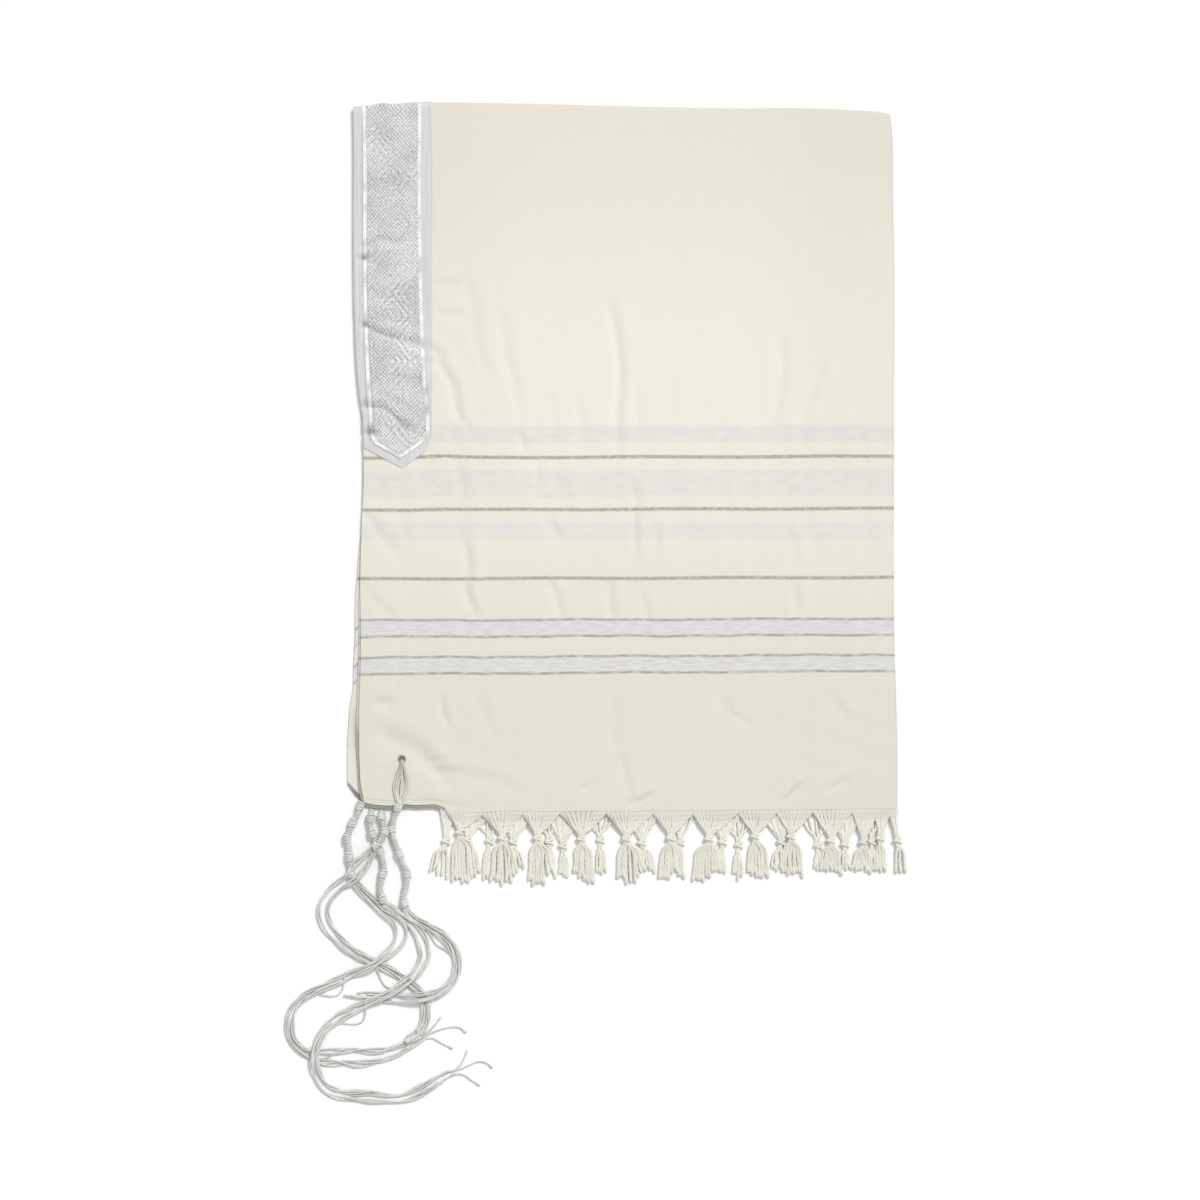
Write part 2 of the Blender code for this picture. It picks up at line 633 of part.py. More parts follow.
def fringes(group, thread):
    """Front fringe, and under it the three layers' fringes as one solid, both a plain form of their reach."""
    count = 17
    share = np.linspace(0, 1, count)
    ends = np.array(TUFT_ENDS)
    top_x = FRINGE_START + (FRINGE_STOP - FRINGE_START) * share
    top_y = smooth_along(HEM, top_x) - FRINGE_GAP
    end_x = np.interp(share, np.linspace(0, 1, len(ends)), ends[:, 0])
    end_y = np.interp(end_x, ends[:, 0], ends[:, 1])
    down = np.array([0.0, 0.33, 0.66, 1.0])[:, None]
    x = top_x + (end_x - top_x) * down
    y = top_y + (end_y - top_y) * down
    z = (FRINGE_TOP_REST + (FRINGE_TIP_REST - FRINGE_TOP_REST) * ease(down / 0.9)) / MM + 0 * x
    under = np.stack([x, y, z], axis=-1) * MM
    panel("fringe_front", under, FRINGE_WALL, group, thread)
    low_top = under.copy()
    low_top[..., 2] -= SEAM_GAP
    cut = np.zeros(low_top.shape[:2], dtype=bool)
    rounded_solid("fringe_under", low_top, 0.0, FRINGE_RINGS, cut, group, thread)


def eyelet(under, group, cutters, thread):
    """The buttonhole-stitched rim of the hole for the front tzitzit: a flat ring just over the cloth."""
    x, y = EYELET_CENTRE
    turn = np.radians(np.arange(0, 360, 45))
    reach = EYELET_RING_RADIUS / MM
    rim = [(x + reach * np.cos(angle), y + reach * np.sin(angle)) for angle in turn]
    rest = max(heights_on(under, rim)) + FRONT_WALL + SEAM_GAP
    place = (x * MM, y * MM, rest + EYELET_WALL / 2)
    bpy.ops.mesh.primitive_cylinder_add(
        vertices=24, radius=EYELET_RING_RADIUS, depth=EYELET_WALL, location=place
    )
    ring = bpy.context.object
    ring.name = "eyelet"
    ring.data.name = "eyelet"
    ring.data.materials.append(thread)
    for other in list(ring.users_collection):
        other.objects.unlink(ring)
    group.objects.link(ring)
    trim(ring, bpy.data.objects["eyelet_hole"], "DIFFERENCE")


def tzitzit(under, group, cord):
    """Four knotted stems with their bundles of strands, the fanned ends, and the front loop on the cloth."""
    bundles = []
    for number, (stem, strands) in enumerate(zip(STEM_ROUTES, STRANDS_ROUTES), start=1):
        stem_points = smooth_route(stem, STEM_DIAMETER)
        bundles.append(smooth_route(carried_on(stem_points, strands), STRANDS_DIAMETER))
        tube(f"tzitzit_{number}_stem", stem_points, STEM_DIAMETER, group, cord)
        tube(f"tzitzit_{number}_strands", bundles[-1], STRANDS_DIAMETER, group, cord)
    for number, route in enumerate(TIP_ROUTES):
        bundle = bundles[number // 3]
        sideways = TIP_SPREAD * (1 - number % 3)
        points = carried_on(bundle, route, sideways=sideways)
        tube(f"strand_tip_{number + 1}", smooth_route(points, TIP_DIAMETER), TIP_DIAMETER, group, cord)
    over = FRONT_WALL + SEAM_GAP * 1.5 + LOOP_DIAMETER / 2
    for side, route in zip(("left", "right"), LOOP_ROUTES):
        points = [(x, y, (low + over) / MM) for (x, y), low in zip(route, heights_on(under, route))]
        tube(f"tzitzit_4_loop_{side}", smooth_route(points, LOOP_DIAMETER), LOOP_DIAMETER, group, cord)


def main():
    clear_scene()
    shawl = new_collection("tallit")
    cutters = new_collection("cutters")
    wool = finish("wool_cloth", (0.84, 0.80, 0.70), 0.85)
    satin = finish("satin_band", (0.70, 0.70, 0.71), 0.45)
    brocade = finish("silver_brocade", (0.62, 0.62, 0.61), 0.40)
    silver = finish("silver_braid", (0.82, 0.82, 0.80), 0.35)
    thread = finish("fringe_thread", (0.72, 0.70, 0.63), 0.80)
    cord = finish("tzitzit_cord", (0.58, 0.58, 0.54), 0.80)
    under = body_cloth(shawl, cutters, wool)
    neckband(under, shawl, cutters, satin, brocade, silver)
    fringes(shawl, thread)
    eyelet(under, shawl, cutters, thread)
    tzitzit(under, shawl, cord)


main()
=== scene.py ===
"""Looks of a tallit prayer shawl, folded into quarters and laid flat, built round its CAD frame.

Tables are in millimetres in the frame's own axes: X from the neck edge to the second fold, Y from the
fringed ends up to the first fold, Z up from the surface. Meshes are made in metres at the origin.
"""

from collections import namedtuple

import bmesh
import bpy
import numpy as np
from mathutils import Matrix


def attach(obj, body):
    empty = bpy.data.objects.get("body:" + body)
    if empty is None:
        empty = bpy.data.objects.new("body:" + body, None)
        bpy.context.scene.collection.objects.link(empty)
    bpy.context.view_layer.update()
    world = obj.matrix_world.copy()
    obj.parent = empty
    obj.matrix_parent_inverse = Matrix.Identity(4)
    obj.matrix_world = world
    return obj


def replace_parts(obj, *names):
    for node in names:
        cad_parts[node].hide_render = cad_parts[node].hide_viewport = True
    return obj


bl_info = {
    "name": "Folded tallit",
    "version": (1, 0, 0),
    "blender": (4, 5, 0),
    "location": "3D View > Sidebar > Tallit",
    "description": "Builds the cloth, neckband, fringes and tzitzit of a folded prayer shawl",
    "category": "Object",
}

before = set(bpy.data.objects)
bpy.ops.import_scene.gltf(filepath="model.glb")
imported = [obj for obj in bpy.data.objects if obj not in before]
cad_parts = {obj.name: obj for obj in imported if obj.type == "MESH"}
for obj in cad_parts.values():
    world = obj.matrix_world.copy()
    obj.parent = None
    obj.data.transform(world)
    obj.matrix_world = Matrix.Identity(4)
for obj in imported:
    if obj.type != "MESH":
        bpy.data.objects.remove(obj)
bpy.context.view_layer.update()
MM = 0.001

# Stack of the four layers, from the surface up
LOW = 1.15  # inner side of the back leaf, and of a fold where it comes round underneath
INNER_LEVELS = (3.3, 3.2, 3.1)  # upper leaf, bend and lower leaf of the inner sheet
MIDDLE = 4.5  # where the first fold of the two upper layers comes back underneath
FOLD_REACH = 3  # how far a fold runs out past its flat cloth
FOLD_WALL = 1.1  # cloth outside that reach
FOLD_ARC = 2.9  # mm of cloth a radian of the second fold takes
TOP_ARC = 2.2  # and of the first fold
EDGE_SINK = 0.8  # how much the stack thins towards its cut edges
EDGE_SINK_REACH = 16
EDGE_CALM = 30  # width by those edges over which the ripples fade in
SWELL = 0.7  # air that lifts the middle
SWELL_REACH = 250
CREASE_FADE = 0.28  # share of a crease's length over which each end fades
PUCKERS, SLOW_SWELLS, ROUGH_HEM, COCKLES = 0.17, 0.35, 0.16, 0.06  # heights of the ripples
HEM_LEVEL = -390.6  # the stripes are counted up from here
HEM_ROLL, HEM_ROLL_AT, HEM_ROLL_WIDTH = 0.35, 6, 3.2  # the plain hem's height, its middle and its width
PLAIN_END = -224  # where the plain hem of the corner ends, and the fringe begins below a step
SIDE_SHADE, SECOND_FOLD_SHADE, FIRST_FOLD_SHADE = 0.034, 0.16, 0.14  # painted shade: tone taken off at the sides and round the folds

# Grids of the cloth: width and height that their closer outer cells are set by, cells across and up, and
# the heights between which the side edges are read
FRONT_SPAN, FRONT_RISE = (670, 870), 876
LEAF_SPAN, LEAF_RISE = (660, 860), 872
INNER_CELLS, BACK_CELLS = (58, 120), (90, 140)
BACK_LOW, BACK_RISE = -362.4, 844
BAND_SPAN, BAND_ROWS, BAND_LOW, BAND_TOP = (70, 450), 150, 50, 498
INNER_INSET, INNER_TOP_INSET = 9, 7  # how far the inner sheet stays back from the two folds
BACK_INSET, BACK_TOP_INSET = 9.5, 2.4  # and the back leaf, which also makes up the first fold's reach
INNER_WALL, BACK_WALL = 1, 1.1
BACK_DROP = 10.6  # mm by which the back leaf's stripes show lower
CORNER_TOP, CORNER_CREASE = -285, (-344.4, -313)  # y where its free corner begins, and its creases' x, y
EDGE_CELLS = (0, 0.3, 0.8, 1.7)  # mm from an edge
BACK_EDGE_CELLS = (*EDGE_CELLS, 3, 4.4, 5.8, 7.2, 9)

Tassel = namedtuple("Tassel", "layer x y roots ends")
Part = namedtuple("Part", "points uv closed shade", defaults=(None,))

# Neck edge of the front quarter and of the neckband: y, x
LEFT_EDGE = (
    (-386, -329.8), (-381, -331), (-370, -333.2), (-355, -334.2), (-318, -335.2), (-268, -335.2),
    (-240, -334.2), (-193, -333.2), (-105, -333.8), (-43, -332), (7, -329.8), (38, -329.5), (69, -330),
    (94, -330.7), (107, -333), (144, -337.1), (194, -339.6), (244, -341), (300, -341.5), (450, -341.8),
    (491, -342.6),
)
# Second fold: y, x
SECOND_FOLD = (
    (-395, 337.6), (-320, 337.6), (-256, 336.2), (-190, 334), (-120, 333.2), (60, 333.3), (130, 333.4),
    (244, 334.1), (370, 332.4), (455, 330.8), (491, 326.6),
)
# First fold: x, y
FIRST_FOLD = (
    (-346, 485.6), (-316, 488), (-284, 490), (-160, 490.3), (-30, 487.2), (90, 484.2), (280, 481.5),
    (322, 478), (337, 474),
)
# Fringed end of the front quarter: x, y. The corner up to the step has a plain hem
HEM = (
    (-333, -382.5), (-326, -384.4), (-290, -387.2), (-279, -385.8), (-266, -387), (-236, -387.4),
    (-228, -390.6), (-219, -393.4), (-150, -394.2), (20, -394.4), (170, -393.2), (337, -391),
)
# Left edge and hem of the back leaf, which shows past the front quarter at the lower left: y, x and x, y
BACK_LEFT = (
    (-366, -349.6), (-349, -350), (-324, -350.2), (-299, -349.2), (-274, -347.8), (-262, -347),
    (-250, -345.4), (-240, -343.8), (-199, -342.2), (-180, -341), (-131, -340.4), (-112, -339.8),
    (-93, -338.2), (-68, -336.6), (-43, -334), (-16, -330.6), (60, -329), (119, -333.6), (194, -338.6),
    (306, -340.4), (484, -340.6),
)
BACK_HEM = (
    (-349.5, -362), (-335.4, -380.6), (-326, -387), (-290, -390.2), (-236, -390.6), (-222, -391),
    (334, -390),
)
# How far the inner leaves stand out past the front quarter at the neck edge: y, mm
INNER_OUT = ((-390, 2.2), (-340, 3.6), (-300, 4), (-240, 3), (-160, 2), (-60, 0.8), (80, -0.4), (490, -0.4))

# Creases of the front quarter: depth, width and then the points of the line, which are y, x in the upright
# ones and x, y in the level ones
UPRIGHT_CREASES = (
    (2, 6.5, (76, -186), (95, -203.5), (138.6, -214.5), (163, -227.5), (196, -240)),
    (1.1, 7, (138, -161), (167.5, -177), (203.5, -186.6), (230, -188), (290, -199)),
    (1.15, 6.5, (96, -131), (133.8, -136.2), (172.3, -145.8), (210.7, -150.6), (250, -157)),
    (1.9, 6, (38, -8), (76, -8.8), (105, -8.8), (138.6, -4.9), (172.3, -6.3), (210.7, -11.2), (268, -24)),
    (1.27, 6, (76, 178), (100, 186), (129, 195.6), (167.5, 198), (218, 195)),
    (1.5, 6, (84, 221), (119.4, 231.7), (153, 243.7), (174, 250)), (0.94, 5, (78, -89), (128, -91.5)),
    (0.77, 5, (78, -52.5), (134, -62)), (0.6, 4.5, (72, 19), (158, 12)), (0.59, 5, (82, 61), (162, 58.6)),
    (2.4, 6, (-160, -182), (-148.9, -186.6), (-129.7, -193.9), (-110, -198.7), (-96, -194.8), (-67, -196.3),
     (-42, -200)), (0.94, 6, (-18, -202), (5, -203), (29, -205.5), (58, -215)),
    (0.85, 5.5, (-12, -110), (62, -109.7)), (1.2, 5, (48, -123), (84, -132)),
    (1.45, 6, (-158, -79), (-129.7, -84), (-98, -96)), (1.15, 6.5, (-58, -78.5), (-22, -99.5)),
    (1.8, 6, (-158, -17.8), (-100, -17.8)),
    (1.6, 5, (-94, 14.3), (-57.5, 12.9), (-28.7, 12.9), (-9.5, 15.3), (9.8, 10.5), (44, 8.5)),
    (1.02, 5, (-158, 29), (-112, 18)), (1.55, 5.5, (-152, 215), (-102, 212)),
    (0.77, 5.5, (-90, 212), (-46, 213)), (0.77, 5, (-18, 159.5), (46, 159.5)),
    (0.68, 5, (-16, 108), (16, 110)), (0.77, 4.5, (-74, 41.7), (-36, 41)),
    (1.9, 4, (-292, -220.5), (-284, -222.7), (-272, -227.5), (-242, -228)),
    (0.85, 7, (-302, -162), (-262, -177.5), (-238, -184)), (0.9, 8, (-332, -11), (-232, -9)),
    (1, 5, (-382, 7.5), (-348.9, 0.9), (-316, -6)),
    (0.75, 7, (-294, 168), (-284, 154.7), (-274, 137.9), (-255, 123.5), (-240, 115)),
    (0.85, 7, (-278, 278.5), (-246, 256.5)),
)
LEVEL_CREASES = (
    (1.3, 11, (-334, -8), (-326, -19), (-311.7, -38.3), (-287.6, -62.3), (-274, -71)),
    (0.9, 11, (-334, -104), (-311.7, -129.7), (-282, -151)),
    (2.5, 14, (-324, -288), (-287.6, -298.4), (-263.6, -308), (-249, -320), (-232, -338), (-208, -352)),
    (0.9, 7.5, (-252, -336.5), (-196, -345), (-167, -349.5), (-124, -368.5)),
    (0.94, 5, (-284, -374), (-240, -380), (-186, -389)), (2.2, 7, (-318, -256), (-290, -253)),
    (0.94, 3.4, (-264, -331), (-216, -326)), (0.94, 3.4, (-256, -343), (-204, -340)),
    (0.77, 3.4, (-316, -340), (-294, -336)),
    (3.1, 2.6, (-2, -381.5), (5.7, -381.6), (17.7, -377.7), (38, -366)),
    (2.9, 2.7, (190, -383), (212.4, -361), (219, -354)), (0.77, 3.2, (160, -384), (183, -357)),
    (1.6, 4.5, (242, -368.5), (282, -349.5)), (0.77, 4, (128, -362), (146, -344)),
    (1.6, 4, (-58, -366), (-36, -350)), (0.9, 6, (-246, 266), (-204, 268)),
    (0.9, 6, (-246, 232), (-194, 228)), (1, 6, (-250, 186), (-222, 180)),
)
# Creases across the neckband, which pull it into soft waves: depth, width and x, y
BAND_CREASES = (
    (2.1, 5.5, (-345, 306), (-333.5, 311.4), (-307, 323.4), (-286.6, 320.4), (-268, 334), (-250, 344)),
    (2.5, 5.5, (-345, 220), (-332.4, 216.2), (-298, 202), (-264, 193.6), (-238, 184)),
    (2.8, 4.6, (-343, 116), (-326, 113), (-305.5, 111.9), (-274.3, 86.9), (-252, 80)),
    (1.6, 4, (-342, 298), (-316, 299)), (2.2, 4, (-338, 81), (-304, 79)),
    (0.9, 8, (-345, 262), (-300, 255), (-262, 268)), (1.1, 6, (-306, 156), (-244, 142)),
    (0.7, 9, (-340, 385), (-290, 392), (-250, 380)), (-1.2, 7, (-316, 240), (-290, 232), (-248, 226)),
    (-1.3, 7, (-310, 138), (-280, 128), (-250, 116)), (0.9, 3.4, (-280, 176), (-236, 168)),
)

# Woven stripes: mm above the hem, half width, softness of the edge, and what it is woven of
STRIPES = (
    (466.4, 10.2, 5, "satin"), (437.7, 2.15, 2.4, "line"), (404.6, 16.4, 5.5, "satin"),
    (372.5, 2.15, 2.4, "line"), (345.6, 10.6, 5.5, "satin"), (286.4, 2.15, 2.4, "line"),
    (224.2, 9.6, 1.4, "ribbon"), (234.5, 1.6, 1.9, "thread"), (213.7, 1.6, 1.9, "thread"),
    (177.6, 9.4, 1.4, "ribbon"), (188, 1.6, 1.9, "thread"), (167.3, 1.6, 1.9, "thread"),
)

# Neckband: satin border, bright braid inside it and brocade in the middle, all with a point below
BAND_RIGHT = ((40, -246), (77, -244.2), (119.4, -243.8), (244.4, -243.9), (499, -244.4))  # y, x
BAND_POINT = ((-333, 61.6), (-282, 34.4), (-253, 54.5), (-244.2, 77))  # x, y
# Middle of the braid on the left and on the right: y, x
BRAID_LEFT = (
    (77, -319.4), (100, -320.9), (119, -322.2), (139, -323.6), (194, -326), (244, -327.4), (300, -327.9),
    (450, -328.2), (499, -329),
)
BRAID_RIGHT = (
    (77, -249.4), (100, -249.6), (118, -251.8), (154, -254.3), (217, -257.3), (248, -258.1), (335, -259.5),
    (499, -259.5),
)
BRAID_POINT = ((-318.6, 73), (-314.3, 66.3), (-284, 48.6), (-259.5, 65.5), (-249.4, 77))  # x, y
BRAID_WIDTH = 5.2
BRAID_OFFS = (0.5, 0.44, 0.2, -0.2, -0.44, -0.5)  # lines along it, as shares of its width
BRAID_LOW, BRAID_STEPS = 78, 141  # where its sides meet the point, and places along each side
# Dents where the creases pull the border in, painted with shade as they catch no light: x, y, mm across and
# up, depth of tone
DENTS = (
    (-328.2, 298, 3.2, 4.4, 0.62), (-327.2, 213.8, 3, 4, 0.55), (-320.4, 82, 4.2, 8, 0.6),
    (-250.8, 131, 3, 6, 0.34), (-250.4, 107, 2.6, 6, 0.34), (-325, 118, 5, 6, 0.3),
)

# Tzitzit stems: x, y and height of the centre line, with the knots' places as shares of the length
STEMS = (
    (
        (-333.3, -385.7, 4), (-336.6, -397, 3.9), (-343, -408.1, 3.9), (-346.1, -416.9, 3.9),
        (-350.5, -426.2, 3.9), (-348.6, -438.1, 3.9), (-347.6, -453.1, 3.9), (-345.7, -466.9, 3.9),
        (-344.9, -475.6, 3.9),
    ),
    (
        (-319.5, -389.4, 3.9), (-320.7, -399.4, 3.9), (-322, -411.9, 3.9), (-318.6, -424.4, 3.9),
        (-313.6, -434.4, 3.9), (-309.9, -443.1, 3.9), (-305.5, -458.1, 3.9), (-305.1, -469.4, 3.9),
        (-308.2, -481.9, 3.9), (-308.8, -495.6, 3.9), (-304.9, -508.1, 3.9),
    ),
    (
        (-308.2, -389.8, 3.9), (-307.6, -399.4, 4.2), (-305.7, -410.6, 5.4), (-303.2, -419.4, 8.6),
        (-306.8, -427.5, 11.2), (-311.1, -433.5, 11.8), (-316.1, -440, 11),
    ),
    (
        (-284.4, -383, 8.6), (-286.2, -388, 7.6), (-288.4, -394, 5), (-291, -401, 4), (-294.4, -413.1, 3.9),
        (-293.5, -424.4, 3.9), (-289.9, -436.2, 3.9), (-285.5, -448.1, 3.9), (-281.1, -459.4, 3.9),
        (-276.1, -470.6, 3.9), (-275.2, -480.6, 3.9), (-278.2, -494.4, 3.9), (-279.6, -505, 3.9),
        (-277.6, -514, 3.9),
    ),
)
KNOTS = (
    (0.02, 0.27, 0.50, 0.74, 0.96),
    (0.11, 0.27, 0.46, 0.70, 0.97),
    (0.22, 0.56, 0.94),
    (0.05, 0.26, 0.50, 0.70, 0.97),
)
STEM_RADIUS = 4.2
STEM_ROUTE_RADIUS = 3.6  # what the heights above are for
FLAT_STEMS, STEM_PRESS = (2, 3), 0.25  # the middle two come out pressed flat between the layers
WINDING_RADIUS = 1.1
WINDING_LAY = 2.6  # mm from one turn to the next
KNOT_RINGS = ((-2.4, 0.5), (-0.8, -0.55), (1, 0.55), (2.5, -0.45))  # mm along the stem, and slant
KNOT_RADIUS, KNOT_SIDES, KNOT_LEAST = 1.4, 7, 1.6  # of the cord, and its least height
STRAND_RADIUS = 1.1
STRAND_LAY = 6  # mm in which its plies turn once
ROUTE_STEP = 1.6
PLIES = 2
# Rounded end of a cord: how far its two last rings lie past the end and their sizes, in radii
CAP_REACH, CAP_SIZE = np.array([[0.85], [0.5]]), np.array([0.4, 0.85])

# Bundles of eight strands, in two groups: x, y, lift over the surface, half the way between the
# groups' middles, and how loosely each group lies
BUNDLES = (
    (
        (-344.4, -477.5, 1.2, 1.6, 0.9), (-339.2, -486.2, 0.4, 2.6, 1), (-332.4, -493.8, 0, 3.6, 1),
        (-322.4, -503.8, 0, 3.8, 1), (-312.2, -513.6, 0, 3.4, 1), (-302, -522.6, 0.4, 3.2, 1),
        (-291, -529.8, 0.6, 4.4, 1), (-284.2, -540.5, 0, 6, 1), (-284, -554, 0, 5.6, 1),
        (-294, -567.9, 2.6, 4, 1), (-304.2, -575.8, 5.4, 3.2, 1), (-313, -583, 6.6, 3, 1),
        (-324.9, -589.4, 5.2, 3.2, 1), (-339.2, -596.2, 1.6, 3.4, 1), (-356.8, -604.4, 0, 3.6, 1.2),
        (-374.2, -611.9, 0, 3.4, 1.2), (-393, -620.6, 0, 3.2, 1.1), (-407.4, -629.4, 0, 3.2, 1.1),
        (-416.6, -640, 0, 3.2, 1.1), (-421.6, -653.1, 0, 3.4, 1.2), (-422, -666.9, 0, 3.4, 1.2),
        (-418.6, -680.6, 0, 3.2, 1.1), (-409.9, -691.5, 0, 3.4, 1.2), (-396.8, -698.2, 0, 4.6, 1.4),
        (-383, -701.4, 0, 6.4, 1.8), (-365.5, -703.1, 0, 7.6, 2.4), (-346.8, -703.6, 0, 7.8, 2.6),
        (-328, -702.4, 0, 7, 2.4), (-309.2, -699.6, 0, 6, 2), (-291.8, -695, 0, 4.8, 1.7),
        (-275.5, -688.5, 0, 3.6, 1.3), (-263, -681.6, 0, 2.6, 1), (-252.4, -675, 0, 1.8, 0.9),
    ),
    (
        (-304.3, -509.9, 1.2, 1.6, 0.9), (-295, -516.6, 0.8, 2.8, 1), (-286, -524, 1.2, 2.8, 1),
        (-276.4, -531.6, 0.6, 3.6, 1), (-266.4, -541, 0, 4.8, 1), (-258.6, -552, 0, 5.6, 1),
        (-254.2, -564.4, 0, 5.8, 1), (-253.8, -576.9, 0, 5.2, 1), (-258.4, -588.4, 2.4, 4.4, 1),
        (-267, -599, 6, 3.6, 1), (-279.2, -608.8, 7, 3.2, 1), (-290.5, -616.9, 7.2, 3, 1),
        (-303, -624.4, 7.4, 3.1, 1), (-315.5, -630.4, 5.6, 3.2, 1), (-331.8, -637.5, 1.6, 3.4, 1),
        (-348, -645.6, 0, 3.6, 1.2), (-364.2, -655.6, 0, 3.4, 1.1), (-377.4, -667.5, 0.6, 3.2, 1),
        (-386, -680.6, 4.4, 3, 1), (-389.5, -691.9, 6.8, 3, 1), (-390.2, -703.1, 6.8, 3, 1),
        (-389.5, -714.4, 4.6, 3.1, 1), (-386.6, -725.6, 1, 3.2, 1), (-380.6, -736.4, 0, 3.4, 1.2),
        (-370.5, -744.6, 0, 4.4, 1.4), (-356.8, -749, 0, 5.4, 1.7), (-339.2, -751.4, 0, 5.8, 1.8),
        (-320.5, -752.6, 0, 5.2, 1.7), (-301.8, -753.4, 0, 3.8, 1.3), (-283, -752.4, 0, 4.2, 1.4),
        (-266.8, -748.2, 0, 5, 1.6), (-250.5, -740, 0, 4.4, 1.5), (-234.2, -729.8, 0, 3.2, 1.2),
        (-214.9, -719.6, 0, 1.8, 0.9),
    ),
    (
        (-316.6, -440.6, 8.2, 2.2, 0.9), (-324, -451, 5.6, 4.6, 1.4), (-331.9, -460.4, 6.2, 6.4, 2),
        (-339.2, -468.6, 7, 6.8, 2.1), (-346, -476, 6.6, 6.4, 1.8), (-354, -483, 4, 5.6, 1.3),
        (-362, -489.4, 0.8, 5.4, 1), (-371.6, -498.4, 0, 5.4, 1), (-378.2, -508.6, 0, 5.6, 1),
        (-380.6, -520, 0, 5.6, 1), (-378, -532.6, 0, 5.4, 1), (-371.6, -544.6, 0, 5.2, 1),
        (-361.8, -555.6, 0, 5, 1), (-350, -565.4, 0, 4.6, 1), (-337.4, -573.4, 0, 4, 1),
        (-325.5, -579.4, 0, 3.4, 1), (-313, -584.4, 0, 3, 1), (-300.5, -591.2, 0, 3, 1),
        (-288, -598.8, 0, 3, 1), (-275.5, -606.9, 0, 3, 1), (-265.5, -614.4, 0, 3, 1),
        (-257.4, -623.8, 0, 3.2, 1.1), (-253, -635.6, 0, 3.4, 1.2), (-252.2, -649.4, 0, 3.4, 1.2),
        (-254, -660, 0, 3.2, 1.1), (-258.6, -668, 1.6, 2.8, 1), (-267, -675.4, 3.2, 2.4, 1),
        (-278, -681, 3.2, 2.2, 0.9),
    ),
    (
        (-277.2, -515.4, 1.2, 1.6, 0.9), (-273.4, -523, 0.6, 2.8, 1), (-267.4, -528.8, 0, 3, 1),
        (-260.6, -532.8, 0, 3, 1), (-251.6, -537.4, 0, 3.1, 1), (-240.4, -543.6, 0, 3.2, 1.1),
        (-229.4, -551.7, 0, 3.4, 1.2), (-219.6, -562.4, 0, 3.4, 1.2), (-213.4, -575.6, 0, 3.2, 1.1),
        (-212.4, -590, 0, 3.2, 1.1), (-216.3, -602.8, 0, 3, 1), (-224.2, -613, 1.8, 3, 1),
        (-235.5, -620.6, 5, 3.4, 1), (-247.4, -625, 6.4, 3.8, 1), (-259.9, -627.3, 6.2, 4, 1),
        (-273, -628.5, 3.6, 4.2, 1), (-285.5, -628.8, 0.8, 4.2, 1), (-296.8, -628.1, 0, 4.2, 1),
        (-311.8, -626.4, 0, 3.8, 1), (-326.8, -625.2, 0, 3, 0.9), (-340, -624.4, 0, 2, 0.7),
        (-353.6, -623, 0, 0.9, 0.5),
    ),
)
# Ends that fan out of the first two bundles: x and y
TIPS = (
    {
        1: ((-246, -668.2), (-239.6, -661), (-233.6, -653)),
        3: ((-243, -671.6), (-232, -667.4), (-221, -665), (-210, -665.6), (-201.7, -671.6)),
        6: ((-244, -679), (-232, -685.2), (-218.8, -691.6)),
    },
    {
        1: ((-209, -712.4), (-204.2, -703.6), (-200, -693.8)),
        3: ((-206, -716.4), (-196, -711.6), (-184.7, -707.9), (-176.7, -709.6), (-168.8, -715.6)),
        6: ((-206, -724.2), (-195.6, -731), (-184.7, -737.6)),
    },
    {},
    {},
)
# Single strands that stray out of a bundle and come back: tzitzit, strand, mm along it from and to, the
# share of that at which it is farthest, and how many mm to the left that is
STRAYS = (
    (1, 7, 186, 252, 0.3, 22), (1, 0, 318, 372, 0.5, -7), (2, 7, 182, 252, 0.3, 24),
    (2, 1, 330, 384, 0.5, -5), (3, 7, 194, 262, 0.5, -16), (4, 7, 28, 92, 0.5, -11),
)
# mm by which each of the eight strands stops short of its bundle's end
STRAND_ENDS = 3 * ((6, 0, 13, 0, 3, 19, 0, 26),) + ((0, 8, 60, 38, 16, 70, 28, 50),)

# Loop of the front tzitzit on the cloth: x at a third and two thirds of the way, from hole to hem
EYELET = (-281.8, -329.4)
EYELET_HOLE = 2.4
EYELET_PULL, EYELET_SPREAD = 7, 6.8  # cloth this near is pulled onto a circle, out to the second
FRONT_LEAST = 0.003  # metres: only the front quarter's own cloth lies higher
# Buttonhole stitches round it: radius of the ring, reach of a stitch, stitches and radius of the thread
OUTER_STITCHES, INNER_STITCHES = (4.9, 1.1, 34, 0.42), (2.9, 0.9, 18, 0.62)
LOOP_RADIUS = 1.35
LOOP_HEM = (-287.4, 1.1)  # x of the first cord at the hem, and from one to the next
LOOP_SPOT = (-279, -355.6)  # a dark spot on it
THREAD_LAY = 2
LOOPS = (
    (-288.6, -291.8), (-286, -289.2), (-283.4, -286.6), (-281.6, -282.6), (-277.6, -276.4),
    (-275.6, -273.8),
)

# Hem stitches: from, to, pitch, length, distance from the edge and radius
STITCHES = (-327, -232, 3.6, 2.3, 6.6, 0.32)

